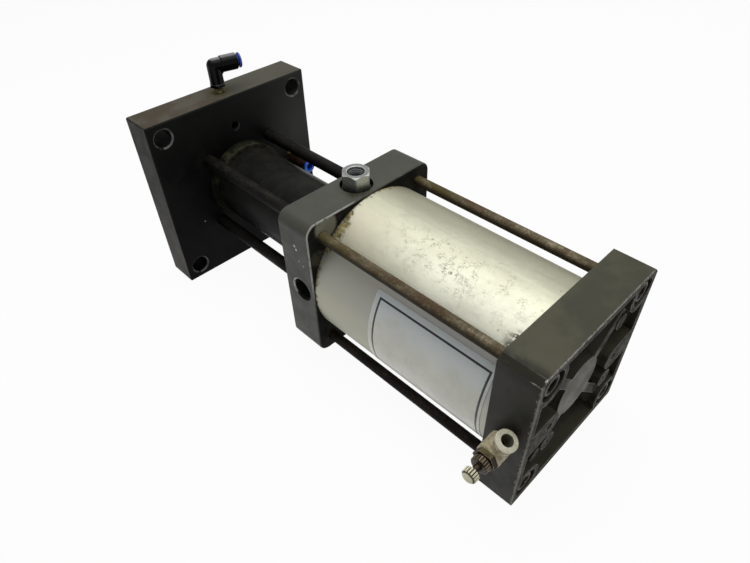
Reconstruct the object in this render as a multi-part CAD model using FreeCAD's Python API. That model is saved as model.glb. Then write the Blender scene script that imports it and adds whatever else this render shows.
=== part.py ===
import FreeCAD, Part
import math
import os

# Pneumatic booster cylinder, in millimetres. An air piston in the large tube pushes a thin plunger
# into the oil of the small tube, and the oil pushes the working rod out through the front flange.
# +X is the way the working rod comes out, +Z is up, +Y is the side of the air ports.
# The origin is the centre of the flange's front face, so the body lies at negative X.

V = FreeCAD.Vector
AHEAD = V(1, 0, 0)
BEHIND = V(-1, 0, 0)
SIDEWAYS = V(0, 1, 0)
UP = V(0, 0, 1)

# Clearances
SEAT_GAP = 0.05           # radial gap of a piece that stays in its seat
RUN_GAP = 0.05            # radial gap of a piece that slides or turns
SEAL_GAP = 0.1            # gap at each side of a seal in its groove

# Front flange
FLANGE_WIDTH = 180.0
FLANGE_THICK = 35.0
FLANGE_CHAMFER = 1.0
MOUNT_EDGE = 15.0         # hole centre from the flange's edge
MOUNT_HOLE = 17.0
MOUNT_CHAMFER = 1.5
SPARE_HOLE = 8.5
SPARE_DEPTH = 12.0
SPARE_EDGE = 30.0         # hole centre from the top edge
COLLAR_WALL = 4.0
COLLAR_LENGTH = 13.0

# Oil tube between the flange and the middle block
OIL_BORE = 63.0
OIL_WALL = 6.0
OIL_SPAN = 158.0          # clear length between flange and middle block
OIL_SEAT_FRONT = 10.0     # depth of its seat in the flange
OIL_SEAT_REAR = 8.0       # depth of its seat in the middle block

# Middle block
MIDDLE_PROUD = 1.2        # its sides outside the air tube's outline
MIDDLE_THICK = 36.0
MIDDLE_CORNER = 10.0
MIDDLE_CHAMFER = 0.8

# Air tube between the middle block and the rear cap
AIR_BORE = 125.0
AIR_WALL = 5.5
AIR_SPAN = 174.8
SPIGOT_LENGTH = 8.0       # register of block and cap inside the air tube

# Rear cap, a casting with a pocketed back
CAP_PROUD = 2.0           # its sides outside the air tube's outline, at the tube side
CAP_THICK = 31.2
CAP_DRAFT = 0.3           # each side is this much smaller at the back
CAP_BEVEL = 4.5           # flat upper corners between its sides
CAP_LOW_BEVEL = 1.5       # the same at its lower corners
POCKET_CORNER = 6.5
CAP_WALL = 6.0
POCKET_DEPTH = 18.0
DISC_DIA = 48.0
DISC_RECESS = 4.5
RIB_WIDTH = 8.0
CORNER_BOSS = 31.0
SIDE_BOSS = 22.0
SIDE_BOSS_AT = 42.0
SIDE_BOSS_HOLE = 6.4
SIDE_BOSS_DEPTH = 9.0
SCREW_BOSS = 15.0
SCREW_BOSS_Y = 38.0
SCREW_BOSS_Z = -21.0
SCREW_HOLE = 4.2
SCREW_DEPTH = 12.0
PEG_DIA = 13.0
PEG_Y = -42.0
PEG_Z = 34.0
PEG_RECESS = 3.0

# Tie rods and their nuts
FRONT_ROD = 12.0
FRONT_ROD_PITCH = 73.0
FRONT_ROD_GRIP = 20.0     # length screwed into the middle block
FRONT_NUT_FLATS = 18.0
FRONT_NUT_THICK = 10.0
FRONT_NUT_SINK = 13.0     # depth of the counterbore in the flange
FRONT_NUT_POCKET = 24.0
REAR_ROD = 9.0
REAR_ROD_INSET = 13.0     # rod centre inside the air tube's outline
REAR_ROD_GRIP = 20.0
SLEEVE_NUT = 17.0
SLEEVE_POCKET = 23.0
SLEEVE_SINK = 14.0        # depth of the counterbore in the cap
SLEEVE_SETBACK = 1.0      # nut below the cap's back face
SLEEVE_THREAD = 10.2      # open accessory thread in the nut's mouth
SLEEVE_THREAD_DEPTH = 6.0
ROD_END_GAP = 2.0         # hole beyond a rod's end
ROD_HOLE_GAP = 0.3        # radial gap of a rod in a through hole
FASTENER_CHAMFER = 1.0

# Static seals
RING_SECTION = 2.6
RING_GROOVE = 3.4

# Booster piston and plunger
PISTON_LENGTH = 24.0
BOOSTER_STROKE = 120.0
PISTON_SEAL_WIDTH = 5.0
PISTON_SEAL_DEPTH = 4.0
WEAR_WIDTH = 5.0
WEAR_DEPTH = 2.0
GROOVE_LAND = 2.0
PLUNGER_DIA = 32.0
PLUNGER_ENTRY = 3.0       # plunger tip inside the oil tube at rest
PLUNGER_CHAMFER = 2.0
SPINDLE_DIA = 20.0        # thin ends of plunger and rod, through their pistons
SPINDLE_NUT_FLATS = 30.0
PLUNGER_NUT_THICK = 11.0
NUT_RECESS = 46.0
NUT_RECESS_GAP = 2.0
BUMPER_OUTER = 68.0
BUMPER_INNER = 52.0
BUMPER_THICK = 2.0

# Plunger gland in the middle block
GLAND_DIA = 42.0
PLUNGER_BUSH_LENGTH = 22.0
PLUNGER_SEAL_LENGTH = 10.0
THROAT_GAP = 0.4

# Working piston and rod
ROD_DIA = 36.0
ROD_REACH = 25.0          # rod beyond the flange's face at rest
ROD_THREAD = 14.0
ROD_THREAD_DEPTH = 22.0
ROD_CHAMFER = 1.5
ROD_FLATS = 32.0
ROD_FLATS_LENGTH = 10.0
ROD_FLATS_SETBACK = 4.0
WORK_PISTON_LENGTH = 25.0
WORK_SEAL_DEPTH = 3.5
WORK_NUT_THICK = 10.0
OIL_GAP = 5.0             # oil left between plunger and working piston at full stroke
ROD_SEAL_LENGTH = 5.0
WIPER_LENGTH = 3.0
THROAT_LENGTH = 2.0
SEAL_HOUSING = 46.0

# Air and oil passages
DRILL_DIA = 6.0
DRILL_RADIUS = 26.0       # passages that open at the ends of the oil tube
AIR_DRILL_DIA = 9.0
AIR_DRILL_RADIUS = 46.0   # passage that opens at the front of the air tube
CAP_DRILL_RADIUS = 45.0   # passage that opens at the rear of the air tube
SIDE_PORT = 20.4
SIDE_PORT_DEPTH = 16.0
SIDE_PORT_CHAMFER = 1.0
SIDE_PORT_DROP = 1.5      # port centre below the axis
SIDE_PORT_BACK = 2.0      # port centre behind the block's middle

# Oil filling adapter on top of the middle block
OIL_PORT_RECESS = 28.0
OIL_PORT_SINK = 4.5
OIL_PORT_SPIGOT = 16.6
OIL_PORT_DEPTH = 11.0
OIL_PORT_FLATS = 22.0
OIL_PORT_ROUND = 24.6     # turned diameter that takes off the hexagon's corners
OIL_PORT_CHAMFER = 1.2
OIL_PORT_MOUTH = 1.2
OIL_PORT_HEIGHT = 15.4
OIL_PORT_TURN = -14.0     # degrees that the hexagon is turned
OIL_PORT_THREAD = 13.2
OIL_PORT_THREAD_DEPTH = 10.0
WASHER_DIA = 24.0
WASHER_THICK = 1.5

# Push-in tube connections, for 8 mm tube
TUBE_HOLE = 8.2
RING_SLEEVE = 10.0
RING_SLEEVE_DEPTH = 5.5
RING_THICK = 2.2
RING_CHAMFER = 0.55
RING_STANDOFF = 1.5
SOCKET_DEPTH = 10.0
FITTING_CHAMFER = 0.8
STEM_BORE = 4.0
FITTING_THREAD = 9.7
FITTING_THREAD_DEPTH = 9.0
THREAD_HOLE_SPARE = 2.0   # hole beyond a thread's end

# Elbow fitting on the flange's top edge
ELBOW_NECK = 6.0
ELBOW_JOURNAL = 8.0
ELBOW_JOURNAL_LENGTH = 10.0
ELBOW_SEAL_SECTION = 1.0
ELBOW_BASE_FLATS = 13.8
ELBOW_BASE_HEIGHT = 3.0
ELBOW_BARREL = 13.4
ELBOW_WEB = 14.5          # corner web, along each leg from the bend
ELBOW_WEB_THICK = 7.0
ELBOW_ARM_HEIGHT = 25.7
ELBOW_ARM_STEP = 6.5
ELBOW_ARM = 15.3
ELBOW_ARM_LENGTH = 22.5
ELBOW_RING = 14.0
ELBOW_TURN = 15.0         # arm points to -Y, turned this many degrees towards the back

# Straight fitting on the flange's back face
STRAIGHT_EDGE = 29.0      # distance from the flange's edge, on the -Y side
STRAIGHT_FLATS = 13.0
STRAIGHT_HEX = 5.0
STRAIGHT_NIPPLE = 7.0
STRAIGHT_NIPPLE_LENGTH = 6.0
STRAIGHT_BODY = 14.6
STRAIGHT_BODY_LENGTH = 24.8
STRAIGHT_RING = 14.0

# Speed controller on the cap's left side
VALVE_THREAD = 12.9
VALVE_COLLAR = 15.0
VALVE_COLLAR_THICK = 2.0
COLLAR_SEAT_GAP = 1.0     # spot face round the collar
VALVE_JOURNAL = 10.0
VALVE_BODY_LENGTH = 16.5
VALVE_BODY = 17.5
VALVE_ARM = 14.6
VALVE_ARM_LENGTH = 14.75
VALVE_RING = 15.2
VALVE_TURN = 21.6         # port points up, turned this many degrees towards the back
VALVE_FLATS = 15.0
VALVE_HEX = 4.0
VALVE_NOSE = 8.0
LOCKNUT_DIA = 13.0
LOCKNUT_THICK = 5.0
NEEDLE_DIA = 5.0
NEEDLE_TIP = 4.0
NEEDLE_POINT = 1.2
NEEDLE_DEPTH = 12.0       # needle inside the body
KNOB_DIA = 10.6
KNOB_LENGTH = 5.5
KNOB_GAP = 5.7            # knob above the locknut
KNOB_CAP = 3.0
KNOB_SLOPE = 1.4          # sloping end of the knob
KNOB_RIBS = 16
RIB_DEPTH = 0.7
LOCKNUT_CHAMFER = 0.7
KNURL_RIBS = 20
KNURL_DEPTH = 0.6
# Corners of one rib and its groove: share of the pitch, share of the depth
RIB_SHAPE = ((0.0, 0), (0.5, 0), (0.6, 1), (0.9, 1))

# Printed film on the air tube's left side, left blank
LABEL_THICK = 0.15
LABEL_LENGTH = 107.0
LABEL_SETBACK = 5.8       # from the rear cap
LABEL_TOP = 36.5          # degrees above the side
LABEL_BOTTOM = -62.0      # degrees below the side
LABEL_GAP = 0.2

# Widths that follow from the tube and the flange
AIR_OUTER = AIR_BORE + 2 * AIR_WALL
MIDDLE_WIDTH = AIR_OUTER + 2 * MIDDLE_PROUD
CAP_WIDTH = AIR_OUTER + 2 * CAP_PROUD
REAR_ROD_PITCH = AIR_OUTER - 2 * REAR_ROD_INSET
MOUNT_PITCH = FLANGE_WIDTH - 2 * MOUNT_EDGE
SPARE_HEIGHT = FLANGE_WIDTH / 2 - SPARE_EDGE
STRAIGHT_AT = FLANGE_WIDTH / 2 - STRAIGHT_EDGE

# Places along the axis, from the flange's face to the back
X_FLANGE = -FLANGE_THICK
X_OIL_FRONT = X_FLANGE + OIL_SEAT_FRONT
X_MIDDLE_FRONT = X_FLANGE - OIL_SPAN
X_OIL_REAR = X_MIDDLE_FRONT - OIL_SEAT_REAR
X_MIDDLE_REAR = X_MIDDLE_FRONT - MIDDLE_THICK
X_SPIGOT_FRONT = X_MIDDLE_REAR - SPIGOT_LENGTH
X_CAP_FRONT = X_MIDDLE_REAR - AIR_SPAN
X_SPIGOT_REAR = X_CAP_FRONT + SPIGOT_LENGTH
X_CAP_REAR = X_CAP_FRONT - CAP_THICK
X_FLANGE_MIDDLE = X_FLANGE / 2
X_MIDDLE = (X_MIDDLE_FRONT + X_MIDDLE_REAR) / 2
X_SIDE_PORT = X_MIDDLE - SIDE_PORT_BACK
X_CAP = (X_CAP_FRONT + X_CAP_REAR) / 2

# Moving parts at rest, drawn back
ROD_STROKE = BOOSTER_STROKE * (PLUNGER_DIA / OIL_BORE) ** 2
X_PISTON = X_SPIGOT_REAR + BUMPER_THICK
X_PLUNGER = X_PISTON + PISTON_LENGTH
X_PLUNGER_TIP = X_OIL_REAR + PLUNGER_ENTRY
X_WORK_NUT = X_PLUNGER_TIP + BOOSTER_STROKE - ROD_STROKE + OIL_GAP
X_WORK_PISTON = X_WORK_NUT + WORK_NUT_THICK
X_ROD = X_WORK_PISTON + WORK_PISTON_LENGTH

OIL_OUTER = OIL_BORE + 2 * OIL_WALL
COLLAR_DIA = OIL_OUTER + 2 * (SEAT_GAP + COLLAR_WALL)
CAP_SIDE = CAP_WIDTH / 2 - CAP_DRAFT / 2
X_NUT_FLOOR = X_CAP_REAR + SLEEVE_SINK
X_POCKET = X_CAP_REAR + POCKET_DEPTH


def rod(start, end, dia, y=0.0, z=0.0):
    """A cylinder along X."""
    return Part.makeCylinder(dia / 2, end - start, V(start, y, z), AHEAD)


def ring(start, end, outer, inner, y=0.0, z=0.0):
    return rod(start, end, outer, y, z).cut(rod(start, end, inner, y, z))


def drill(start, end, dia):
    """A cylinder between two points."""
    return Part.makeCylinder(dia / 2, start.distanceToPoint(end), start, end - start)


def turned(profile):
    """A solid of revolution about X from (x, radius) corners."""
    corners = [V(x, 0, radius) for x, radius in profile]
    outline = Part.makePolygon(corners + corners[:1])
    return Part.Face(outline).revolve(V(0, 0, 0), AHEAD, 360)


def chamfered_rod(start, end, dia, chamfer, y=0.0, z=0.0):
    """A cylinder along X with both end edges chamfered."""
    radius = dia / 2
    inner = radius - chamfer
    shape = turned([(start, 0), (start, inner), (start + chamfer, radius),
                    (end - chamfer, radius), (end, inner), (end, 0)])
    shape.translate(V(0, y, z))
    return shape


def mouth(x, dia, chamfer, inward, y=0.0, z=0.0):
    """The cone that chamfers a hole's edge at x; inward is +1 or -1 along X."""
    outer = dia / 2 + chamfer
    axis = AHEAD if inward > 0 else BEHIND
    return Part.makeCone(outer, dia / 2, chamfer, V(x, y, z), axis)


def hexagon(start, end, flats):
    """A hexagonal bar along X."""
    radius = flats / math.sqrt(3)
    corners = [V(start, radius * math.cos(math.radians(60 * k)), radius * math.sin(math.radians(60 * k)))
               for k in range(7)]
    return Part.Face(Part.makePolygon(corners)).extrude(V(end - start, 0, 0))


def fluted(start, end, dia, ribs, depth):
    """A ribbed bar along X: straight ribs with straight grooves between them."""
    corners = []
    for k in range(ribs):
        for share, sunk in RIB_SHAPE:
            turn = 2 * math.pi * (k + share) / ribs
            radius = dia / 2 - sunk * depth
            corners.append(V(start, radius * math.cos(turn), radius * math.sin(turn)))
    return Part.Face(Part.makePolygon(corners + corners[:1])).extrude(V(end - start, 0, 0))


def rounded_square(x, width, corner):
    """A closed wire across the axis."""
    half = width / 2
    flat = half - corner
    inset = corner * (1 - math.sqrt(0.5))
    edges = []
    for k in range(4):
        turn = FreeCAD.Rotation(AHEAD, 90 * k)
        side_start = turn.multVec(V(x, half, -flat))
        side_end = turn.multVec(V(x, half, flat))
        bend = turn.multVec(V(x, half - inset, half - inset))
        next_side = turn.multVec(V(x, flat, half))
        edges.append(Part.makeLine(side_start, side_end))
        edges.append(Part.Arc(side_end, bend, next_side).toShape())
    return Part.Wire(edges)


def bevelled_square(x, width, upper, lower):
    """A closed wire across the axis with flat corners, of one size above and another below."""
    half = width / 2
    high = half - upper
    low = half - lower
    outline = [(half, -low), (half, high), (high, half), (-high, half),
               (-half, high), (-half, -low), (-low, -half), (low, -half)]
    corners = [V(x, y, z) for y, z in outline]
    return Part.makePolygon(corners + corners[:1])


def prism(start, end, width, corner):
    """A square bar along X with rounded corners."""
    return Part.Face(rounded_square(start, width, corner)).extrude(V(end - start, 0, 0))


def at_corners(pitch):
    half = pitch / 2
    return [(y, z) for y in (half, -half) for z in (half, -half)]


def placed(shape, base, axis):
    """Moves a shape drawn along X from the origin to a base point and an axis."""
    copy = shape.copy()
    copy.Placement = FreeCAD.Placement(base, FreeCAD.Rotation(AHEAD, axis))
    return copy


def joined(shapes):
    return shapes[0].multiFuse(shapes[1:]).removeSplitter()


def seal_ring(x, inner):
    """A round static seal about the axis, with its inner diameter."""
    return Part.makeTorus(inner / 2 + RING_SECTION / 2, RING_SECTION / 2, V(x, 0, 0), AHEAD)


def outer_groove(x, bore):
    """The groove in a bore's wall that holds a static seal."""
    depth = RING_SECTION + SEAL_GAP
    return ring(x - RING_GROOVE / 2, x + RING_GROOVE / 2, bore + 2 * depth, bore - 2 * SEAT_GAP)


def inner_groove(x, spigot):
    """The groove round a spigot that holds a static seal."""
    depth = RING_SECTION + SEAL_GAP
    return ring(x - RING_GROOVE / 2, x + RING_GROOVE / 2, spigot + 2 * SEAT_GAP, spigot - 2 * depth)


OIL_SEAT = OIL_OUTER + 2 * SEAT_GAP
AIR_SPIGOT = AIR_BORE - 2 * SEAT_GAP
X_SEAL_FLANGE = X_FLANGE
X_SEAL_OIL_REAR = X_MIDDLE_FRONT - OIL_SEAT_REAR / 2
X_SEAL_AIR_FRONT = X_MIDDLE_REAR - SPIGOT_LENGTH / 2
X_SEAL_AIR_REAR = X_CAP_FRONT + SPIGOT_LENGTH / 2
X_WIPER = -WIPER_LENGTH
X_ROD_SEAL = X_WIPER - ROD_SEAL_LENGTH
X_ROD_BUSH_END = X_ROD_SEAL - THROAT_LENGTH
X_PLUNGER_BUSH_END = X_SPIGOT_FRONT + PLUNGER_BUSH_LENGTH
X_PLUNGER_SEAL = X_OIL_REAR - PLUNGER_SEAL_LENGTH


def front_flange():
    body = Part.makeBox(FLANGE_THICK, FLANGE_WIDTH, FLANGE_WIDTH,
                        V(X_FLANGE, -FLANGE_WIDTH / 2, -FLANGE_WIDTH / 2))
    body = body.makeChamfer(FLANGE_CHAMFER, body.Edges)
    body = joined([body, rod(X_FLANGE - COLLAR_LENGTH, X_FLANGE + OIL_SEAT_FRONT, COLLAR_DIA)])
    cuts = [
        rod(X_FLANGE - COLLAR_LENGTH, X_OIL_FRONT, OIL_SEAT),
        outer_groove(X_SEAL_FLANGE, OIL_SEAT),
        rod(X_OIL_FRONT, X_ROD_BUSH_END, GLAND_DIA),
        rod(X_ROD_BUSH_END, X_ROD_SEAL, ROD_DIA + 2 * THROAT_GAP),
        rod(X_ROD_SEAL, 0, SEAL_HOUSING),
        rod(X_FLANGE, X_FLANGE + SPARE_DEPTH, SPARE_HOLE, 0, SPARE_HEIGHT),
    ]
    for y, z in at_corners(MOUNT_PITCH):
        cuts.append(rod(X_FLANGE, 0, MOUNT_HOLE, y, z))
        cuts.append(mouth(X_FLANGE, MOUNT_HOLE, MOUNT_CHAMFER, 1, y, z))
    for y, z in at_corners(FRONT_ROD_PITCH):
        cuts.append(rod(X_FLANGE, 0, FRONT_ROD + 2 * ROD_HOLE_GAP, y, z))
        cuts.append(rod(-FRONT_NUT_SINK, 0, FRONT_NUT_POCKET, y, z))
    return body.cut(cuts + elbow_passage() + straight_passage())


def elbow_passage():
    """From the elbow's thread down to the chamber in front of the working piston."""
    top = V(X_FLANGE_MIDDLE, 0, FLANGE_WIDTH / 2)
    floor = top - UP * (FITTING_THREAD_DEPTH + THREAD_HOLE_SPARE)
    turn = V(X_FLANGE_MIDDLE, 0, DRILL_RADIUS)
    return [drill(top, floor, FITTING_THREAD + 2 * SEAT_GAP),
            drill(floor, turn, DRILL_DIA),
            drill(V(X_OIL_FRONT, 0, DRILL_RADIUS), turn + AHEAD * (DRILL_DIA / 2), DRILL_DIA)]


def straight_passage():
    """From the straight fitting's thread to the same chamber."""
    mouth_at = V(X_FLANGE, -STRAIGHT_AT, 0)
    turn = V(X_FLANGE_MIDDLE, -STRAIGHT_AT, 0)
    inner = V(X_FLANGE_MIDDLE, -DRILL_RADIUS, 0)
    depth = FITTING_THREAD_DEPTH + THREAD_HOLE_SPARE
    return [drill(mouth_at, mouth_at + AHEAD * depth, FITTING_THREAD + 2 * SEAT_GAP),
            drill(mouth_at, turn + AHEAD * (DRILL_DIA / 2), DRILL_DIA),
            drill(turn, inner, DRILL_DIA),
            drill(V(X_OIL_FRONT, -DRILL_RADIUS, 0), inner + AHEAD * (DRILL_DIA / 2), DRILL_DIA)]


def oil_tube():
    return ring(X_OIL_REAR, X_OIL_FRONT, OIL_OUTER, OIL_BORE)


def middle_block():
    body = prism(X_MIDDLE_REAR, X_MIDDLE_FRONT, MIDDLE_WIDTH, MIDDLE_CORNER)
    rims = [edge for edge in body.Edges if edge.BoundBox.XLength < MIDDLE_CHAMFER]
    body = body.makeChamfer(MIDDLE_CHAMFER, rims)
    body = joined([body, rod(X_SPIGOT_FRONT, X_MIDDLE, AIR_SPIGOT)])
    cuts = [
        inner_groove(X_SEAL_AIR_FRONT, AIR_SPIGOT),
        rod(X_OIL_REAR, X_MIDDLE_FRONT, OIL_SEAT),
        outer_groove(X_SEAL_OIL_REAR, OIL_SEAT),
        rod(X_SPIGOT_FRONT, X_PLUNGER_BUSH_END, GLAND_DIA),
        rod(X_PLUNGER_BUSH_END, X_PLUNGER_SEAL, PLUNGER_DIA + 2 * THROAT_GAP),
        rod(X_PLUNGER_SEAL, X_OIL_REAR, GLAND_DIA),
    ]
    rear_hole = REAR_ROD_GRIP + ROD_END_GAP
    front_hole = FRONT_ROD_GRIP + ROD_END_GAP
    for y, z in at_corners(REAR_ROD_PITCH):
        cuts.append(rod(X_MIDDLE_REAR, X_MIDDLE_REAR + rear_hole, REAR_ROD + 2 * SEAT_GAP, y, z))
    for y, z in at_corners(FRONT_ROD_PITCH):
        cuts.append(rod(X_MIDDLE_FRONT - front_hole, X_MIDDLE_FRONT, FRONT_ROD + 2 * SEAT_GAP, y, z))
    return body.cut(cuts + oil_passage() + side_port_passage())


def oil_passage():
    """From the filling adapter on top to the rear end of the oil tube."""
    top = V(X_MIDDLE, 0, MIDDLE_WIDTH / 2)
    recess = top - UP * OIL_PORT_SINK
    floor = recess - UP * (OIL_PORT_DEPTH + THREAD_HOLE_SPARE)
    turn = V(X_MIDDLE, 0, DRILL_RADIUS)
    return [drill(top, recess, OIL_PORT_RECESS),
            drill(recess, floor, OIL_PORT_SPIGOT + 2 * SEAT_GAP),
            drill(floor, turn, DRILL_DIA),
            drill(turn + BEHIND * (DRILL_DIA / 2), V(X_OIL_REAR, 0, DRILL_RADIUS), DRILL_DIA)]


def side_port_passage():
    """From the open side port to the front end of the air tube."""
    face = V(X_SIDE_PORT, MIDDLE_WIDTH / 2, -SIDE_PORT_DROP)
    floor = face - SIDEWAYS * SIDE_PORT_DEPTH
    turn = V(X_SIDE_PORT, AIR_DRILL_RADIUS, -SIDE_PORT_DROP)
    chamber = V(X_SPIGOT_FRONT, AIR_DRILL_RADIUS, -SIDE_PORT_DROP)
    chamfer = Part.makeCone(SIDE_PORT / 2 + SIDE_PORT_CHAMFER, SIDE_PORT / 2, SIDE_PORT_CHAMFER,
                            face, SIDEWAYS * -1)
    return [chamfer,
            drill(face, floor, SIDE_PORT),
            drill(face, turn, AIR_DRILL_DIA),
            drill(turn + AHEAD * (AIR_DRILL_DIA / 2), chamber, AIR_DRILL_DIA)]


def air_tube():
    return ring(X_CAP_FRONT, X_MIDDLE_REAR, AIR_OUTER, AIR_BORE)


def label_film():
    """A thin curved sheet on the tube's left side."""
    inner = AIR_OUTER / 2 + LABEL_GAP
    start = V(X_CAP_FRONT + LABEL_SETBACK, inner, 0)
    strip = Part.Face(Part.makePolygon([start, start + AHEAD * LABEL_LENGTH,
                                        start + AHEAD * LABEL_LENGTH + SIDEWAYS * LABEL_THICK,
                                        start + SIDEWAYS * LABEL_THICK, start]))
    strip.rotate(V(0, 0, 0), AHEAD, LABEL_BOTTOM)
    return strip.revolve(V(0, 0, 0), AHEAD, LABEL_TOP - LABEL_BOTTOM)


def rear_cap():
    front = bevelled_square(X_CAP_FRONT, CAP_WIDTH, CAP_BEVEL, CAP_LOW_BEVEL)
    back = bevelled_square(X_CAP_REAR, CAP_WIDTH - 2 * CAP_DRAFT, CAP_BEVEL, CAP_LOW_BEVEL)
    body = joined([Part.makeLoft([front, back], True), rod(X_CAP, X_SPIGOT_REAR, AIR_SPIGOT)])
    nut_depth = PLUNGER_NUT_THICK - BUMPER_THICK + NUT_RECESS_GAP
    cuts = [
        cap_pockets(),
        inner_groove(X_SEAL_AIR_REAR, AIR_SPIGOT),
        rod(X_SPIGOT_REAR - nut_depth, X_SPIGOT_REAR, NUT_RECESS),
    ]
    for y, z in at_corners(REAR_ROD_PITCH):
        cuts.append(rod(X_CAP_REAR, X_CAP_FRONT, REAR_ROD + 2 * ROD_HOLE_GAP, y, z))
        cuts.append(rod(X_CAP_REAR, X_NUT_FLOOR, SLEEVE_POCKET, y, z))
    for side in (1, -1):
        cuts.append(rod(X_CAP_REAR, X_CAP_REAR + SIDE_BOSS_DEPTH, SIDE_BOSS_HOLE, side * SIDE_BOSS_AT, 0))
        cuts.append(rod(X_CAP_REAR, X_CAP_REAR + SCREW_DEPTH, SCREW_HOLE, side * SCREW_BOSS_Y, SCREW_BOSS_Z))
    return body.cut(cuts + cap_passage())


def cap_pockets():
    """The hollow of the cap's back, round its disc, ribs and bosses."""
    hollow = prism(X_CAP_REAR, X_POCKET, CAP_WIDTH - 2 * (CAP_DRAFT + CAP_WALL), POCKET_CORNER)
    sunk = X_CAP_REAR + DISC_RECESS
    reach = REAR_ROD_PITCH / math.sqrt(2)
    stays = [rod(sunk, X_POCKET, DISC_DIA), rod(X_CAP_REAR + PEG_RECESS, X_POCKET, PEG_DIA, PEG_Y, PEG_Z)]
    for turn in (45, -45):
        rib = Part.makeBox(X_POCKET - sunk, 2 * reach, RIB_WIDTH, V(sunk, -reach, -RIB_WIDTH / 2))
        rib.rotate(V(0, 0, 0), AHEAD, turn)
        stays.append(rib)
    for y, z in at_corners(REAR_ROD_PITCH):
        stays.append(rod(X_CAP_REAR, X_POCKET, CORNER_BOSS, y, z))
    for side in (1, -1):
        inner = SIDE_BOSS_AT if side > 0 else -CAP_WIDTH / 2
        stays.append(rod(X_CAP_REAR, X_POCKET, SIDE_BOSS, side * SIDE_BOSS_AT, 0))
        stays.append(Part.makeBox(POCKET_DEPTH, CAP_WIDTH / 2 - SIDE_BOSS_AT, SIDE_BOSS,
                                  V(X_CAP_REAR, inner, -SIDE_BOSS / 2)))
        stays.append(rod(X_CAP_REAR, X_POCKET, SCREW_BOSS, side * SCREW_BOSS_Y, SCREW_BOSS_Z))
    return hollow.cut(stays)


def cap_passage():
    """From the speed controller's thread to the rear end of the air tube."""
    face = V(X_CAP, CAP_WIDTH / 2, 0)
    floor = V(X_CAP, CAP_SIDE - FITTING_THREAD_DEPTH - THREAD_HOLE_SPARE, 0)
    turn = V(X_CAP, CAP_DRILL_RADIUS, 0)
    seat = V(X_CAP, CAP_SIDE, 0)
    return [drill(face, seat, VALVE_COLLAR + 2 * COLLAR_SEAT_GAP),
            drill(face, floor, VALVE_THREAD + 2 * SEAT_GAP),
            drill(face, turn, DRILL_DIA),
            drill(turn + BEHIND * (DRILL_DIA / 2), V(X_SPIGOT_REAR, CAP_DRILL_RADIUS, 0), DRILL_DIA)]


def front_tie_rod(y, z):
    end = -(FRONT_NUT_SINK - FRONT_NUT_THICK) / 2
    return chamfered_rod(X_MIDDLE_FRONT - FRONT_ROD_GRIP, end, FRONT_ROD, FASTENER_CHAMFER, y, z)


def front_tie_rod_nuts():
    nut = hexagon(-FRONT_NUT_SINK, FRONT_NUT_THICK - FRONT_NUT_SINK, FRONT_NUT_FLATS)
    nut = nut.cut(rod(-FRONT_NUT_SINK, 0, FRONT_ROD + 2 * SEAT_GAP))
    return Part.makeCompound([nut.translated(V(0, y, z)) for y, z in at_corners(FRONT_ROD_PITCH)])


X_SLEEVE = X_CAP_REAR + SLEEVE_SETBACK
X_REAR_ROD_END = X_SLEEVE + SLEEVE_THREAD_DEPTH


def rear_tie_rod(y, z):
    return chamfered_rod(X_REAR_ROD_END, X_MIDDLE_REAR + REAR_ROD_GRIP, REAR_ROD, FASTENER_CHAMFER, y, z)


def rear_sleeve_nuts():
    nut = chamfered_rod(X_SLEEVE, X_NUT_FLOOR, SLEEVE_NUT, FASTENER_CHAMFER)
    nut = nut.cut([rod(X_SLEEVE, X_REAR_ROD_END, SLEEVE_THREAD),
                   rod(X_REAR_ROD_END, X_NUT_FLOOR, REAR_ROD + 2 * SEAT_GAP)])
    return Part.makeCompound([nut.translated(V(0, y, z)) for y, z in at_corners(REAR_ROD_PITCH)])


def groove_places(length):
    """Where the two seals and the wear ring of a piston start, from its rear face."""
    middle = (length - WEAR_WIDTH) / 2
    rear = middle - GROOVE_LAND - PISTON_SEAL_WIDTH
    front = middle + WEAR_WIDTH + GROOVE_LAND
    return rear, middle, front


def piston(start, length, bore, seal_depth):
    """A piston with its grooves, on a spindle."""
    outer = bore - 2 * RUN_GAP
    rear, middle, front = groove_places(length)
    body = ring(start, start + length, outer, SPINDLE_DIA + 2 * SEAT_GAP)
    cuts = [ring(start + place, start + place + width, bore, outer - 2 * depth)
            for place, width, depth in ((rear, PISTON_SEAL_WIDTH, seal_depth),
                                        (middle, WEAR_WIDTH, WEAR_DEPTH),
                                        (front, PISTON_SEAL_WIDTH, seal_depth))]
    return body.cut(cuts)


def piston_ring(start, place, width, bore, depth):
    """A seal or wear ring in a piston's groove."""
    outer = bore - 2 * RUN_GAP
    first = start + place + SEAL_GAP
    return ring(first, first + width - 2 * SEAL_GAP, outer, outer - 2 * (depth - SEAL_GAP))


def booster_seal(place):
    return piston_ring(X_PISTON, place, PISTON_SEAL_WIDTH, AIR_BORE, PISTON_SEAL_DEPTH)


def working_seal(place):
    return piston_ring(X_WORK_PISTON, place, PISTON_SEAL_WIDTH, OIL_BORE, WORK_SEAL_DEPTH)


def spindle_nut(start, thick):
    return hexagon(start, start + thick, SPINDLE_NUT_FLATS).cut(
        rod(start, start + thick, SPINDLE_DIA + 2 * SEAT_GAP))


def plunger():
    spindle = SPINDLE_DIA / 2
    radius = PLUNGER_DIA / 2
    return turned([(X_PISTON - PLUNGER_NUT_THICK, 0), (X_PISTON - PLUNGER_NUT_THICK, spindle),
                   (X_PLUNGER, spindle), (X_PLUNGER, radius), (X_PLUNGER_TIP - PLUNGER_CHAMFER, radius),
                   (X_PLUNGER_TIP, radius - PLUNGER_CHAMFER), (X_PLUNGER_TIP, 0)])


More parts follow.
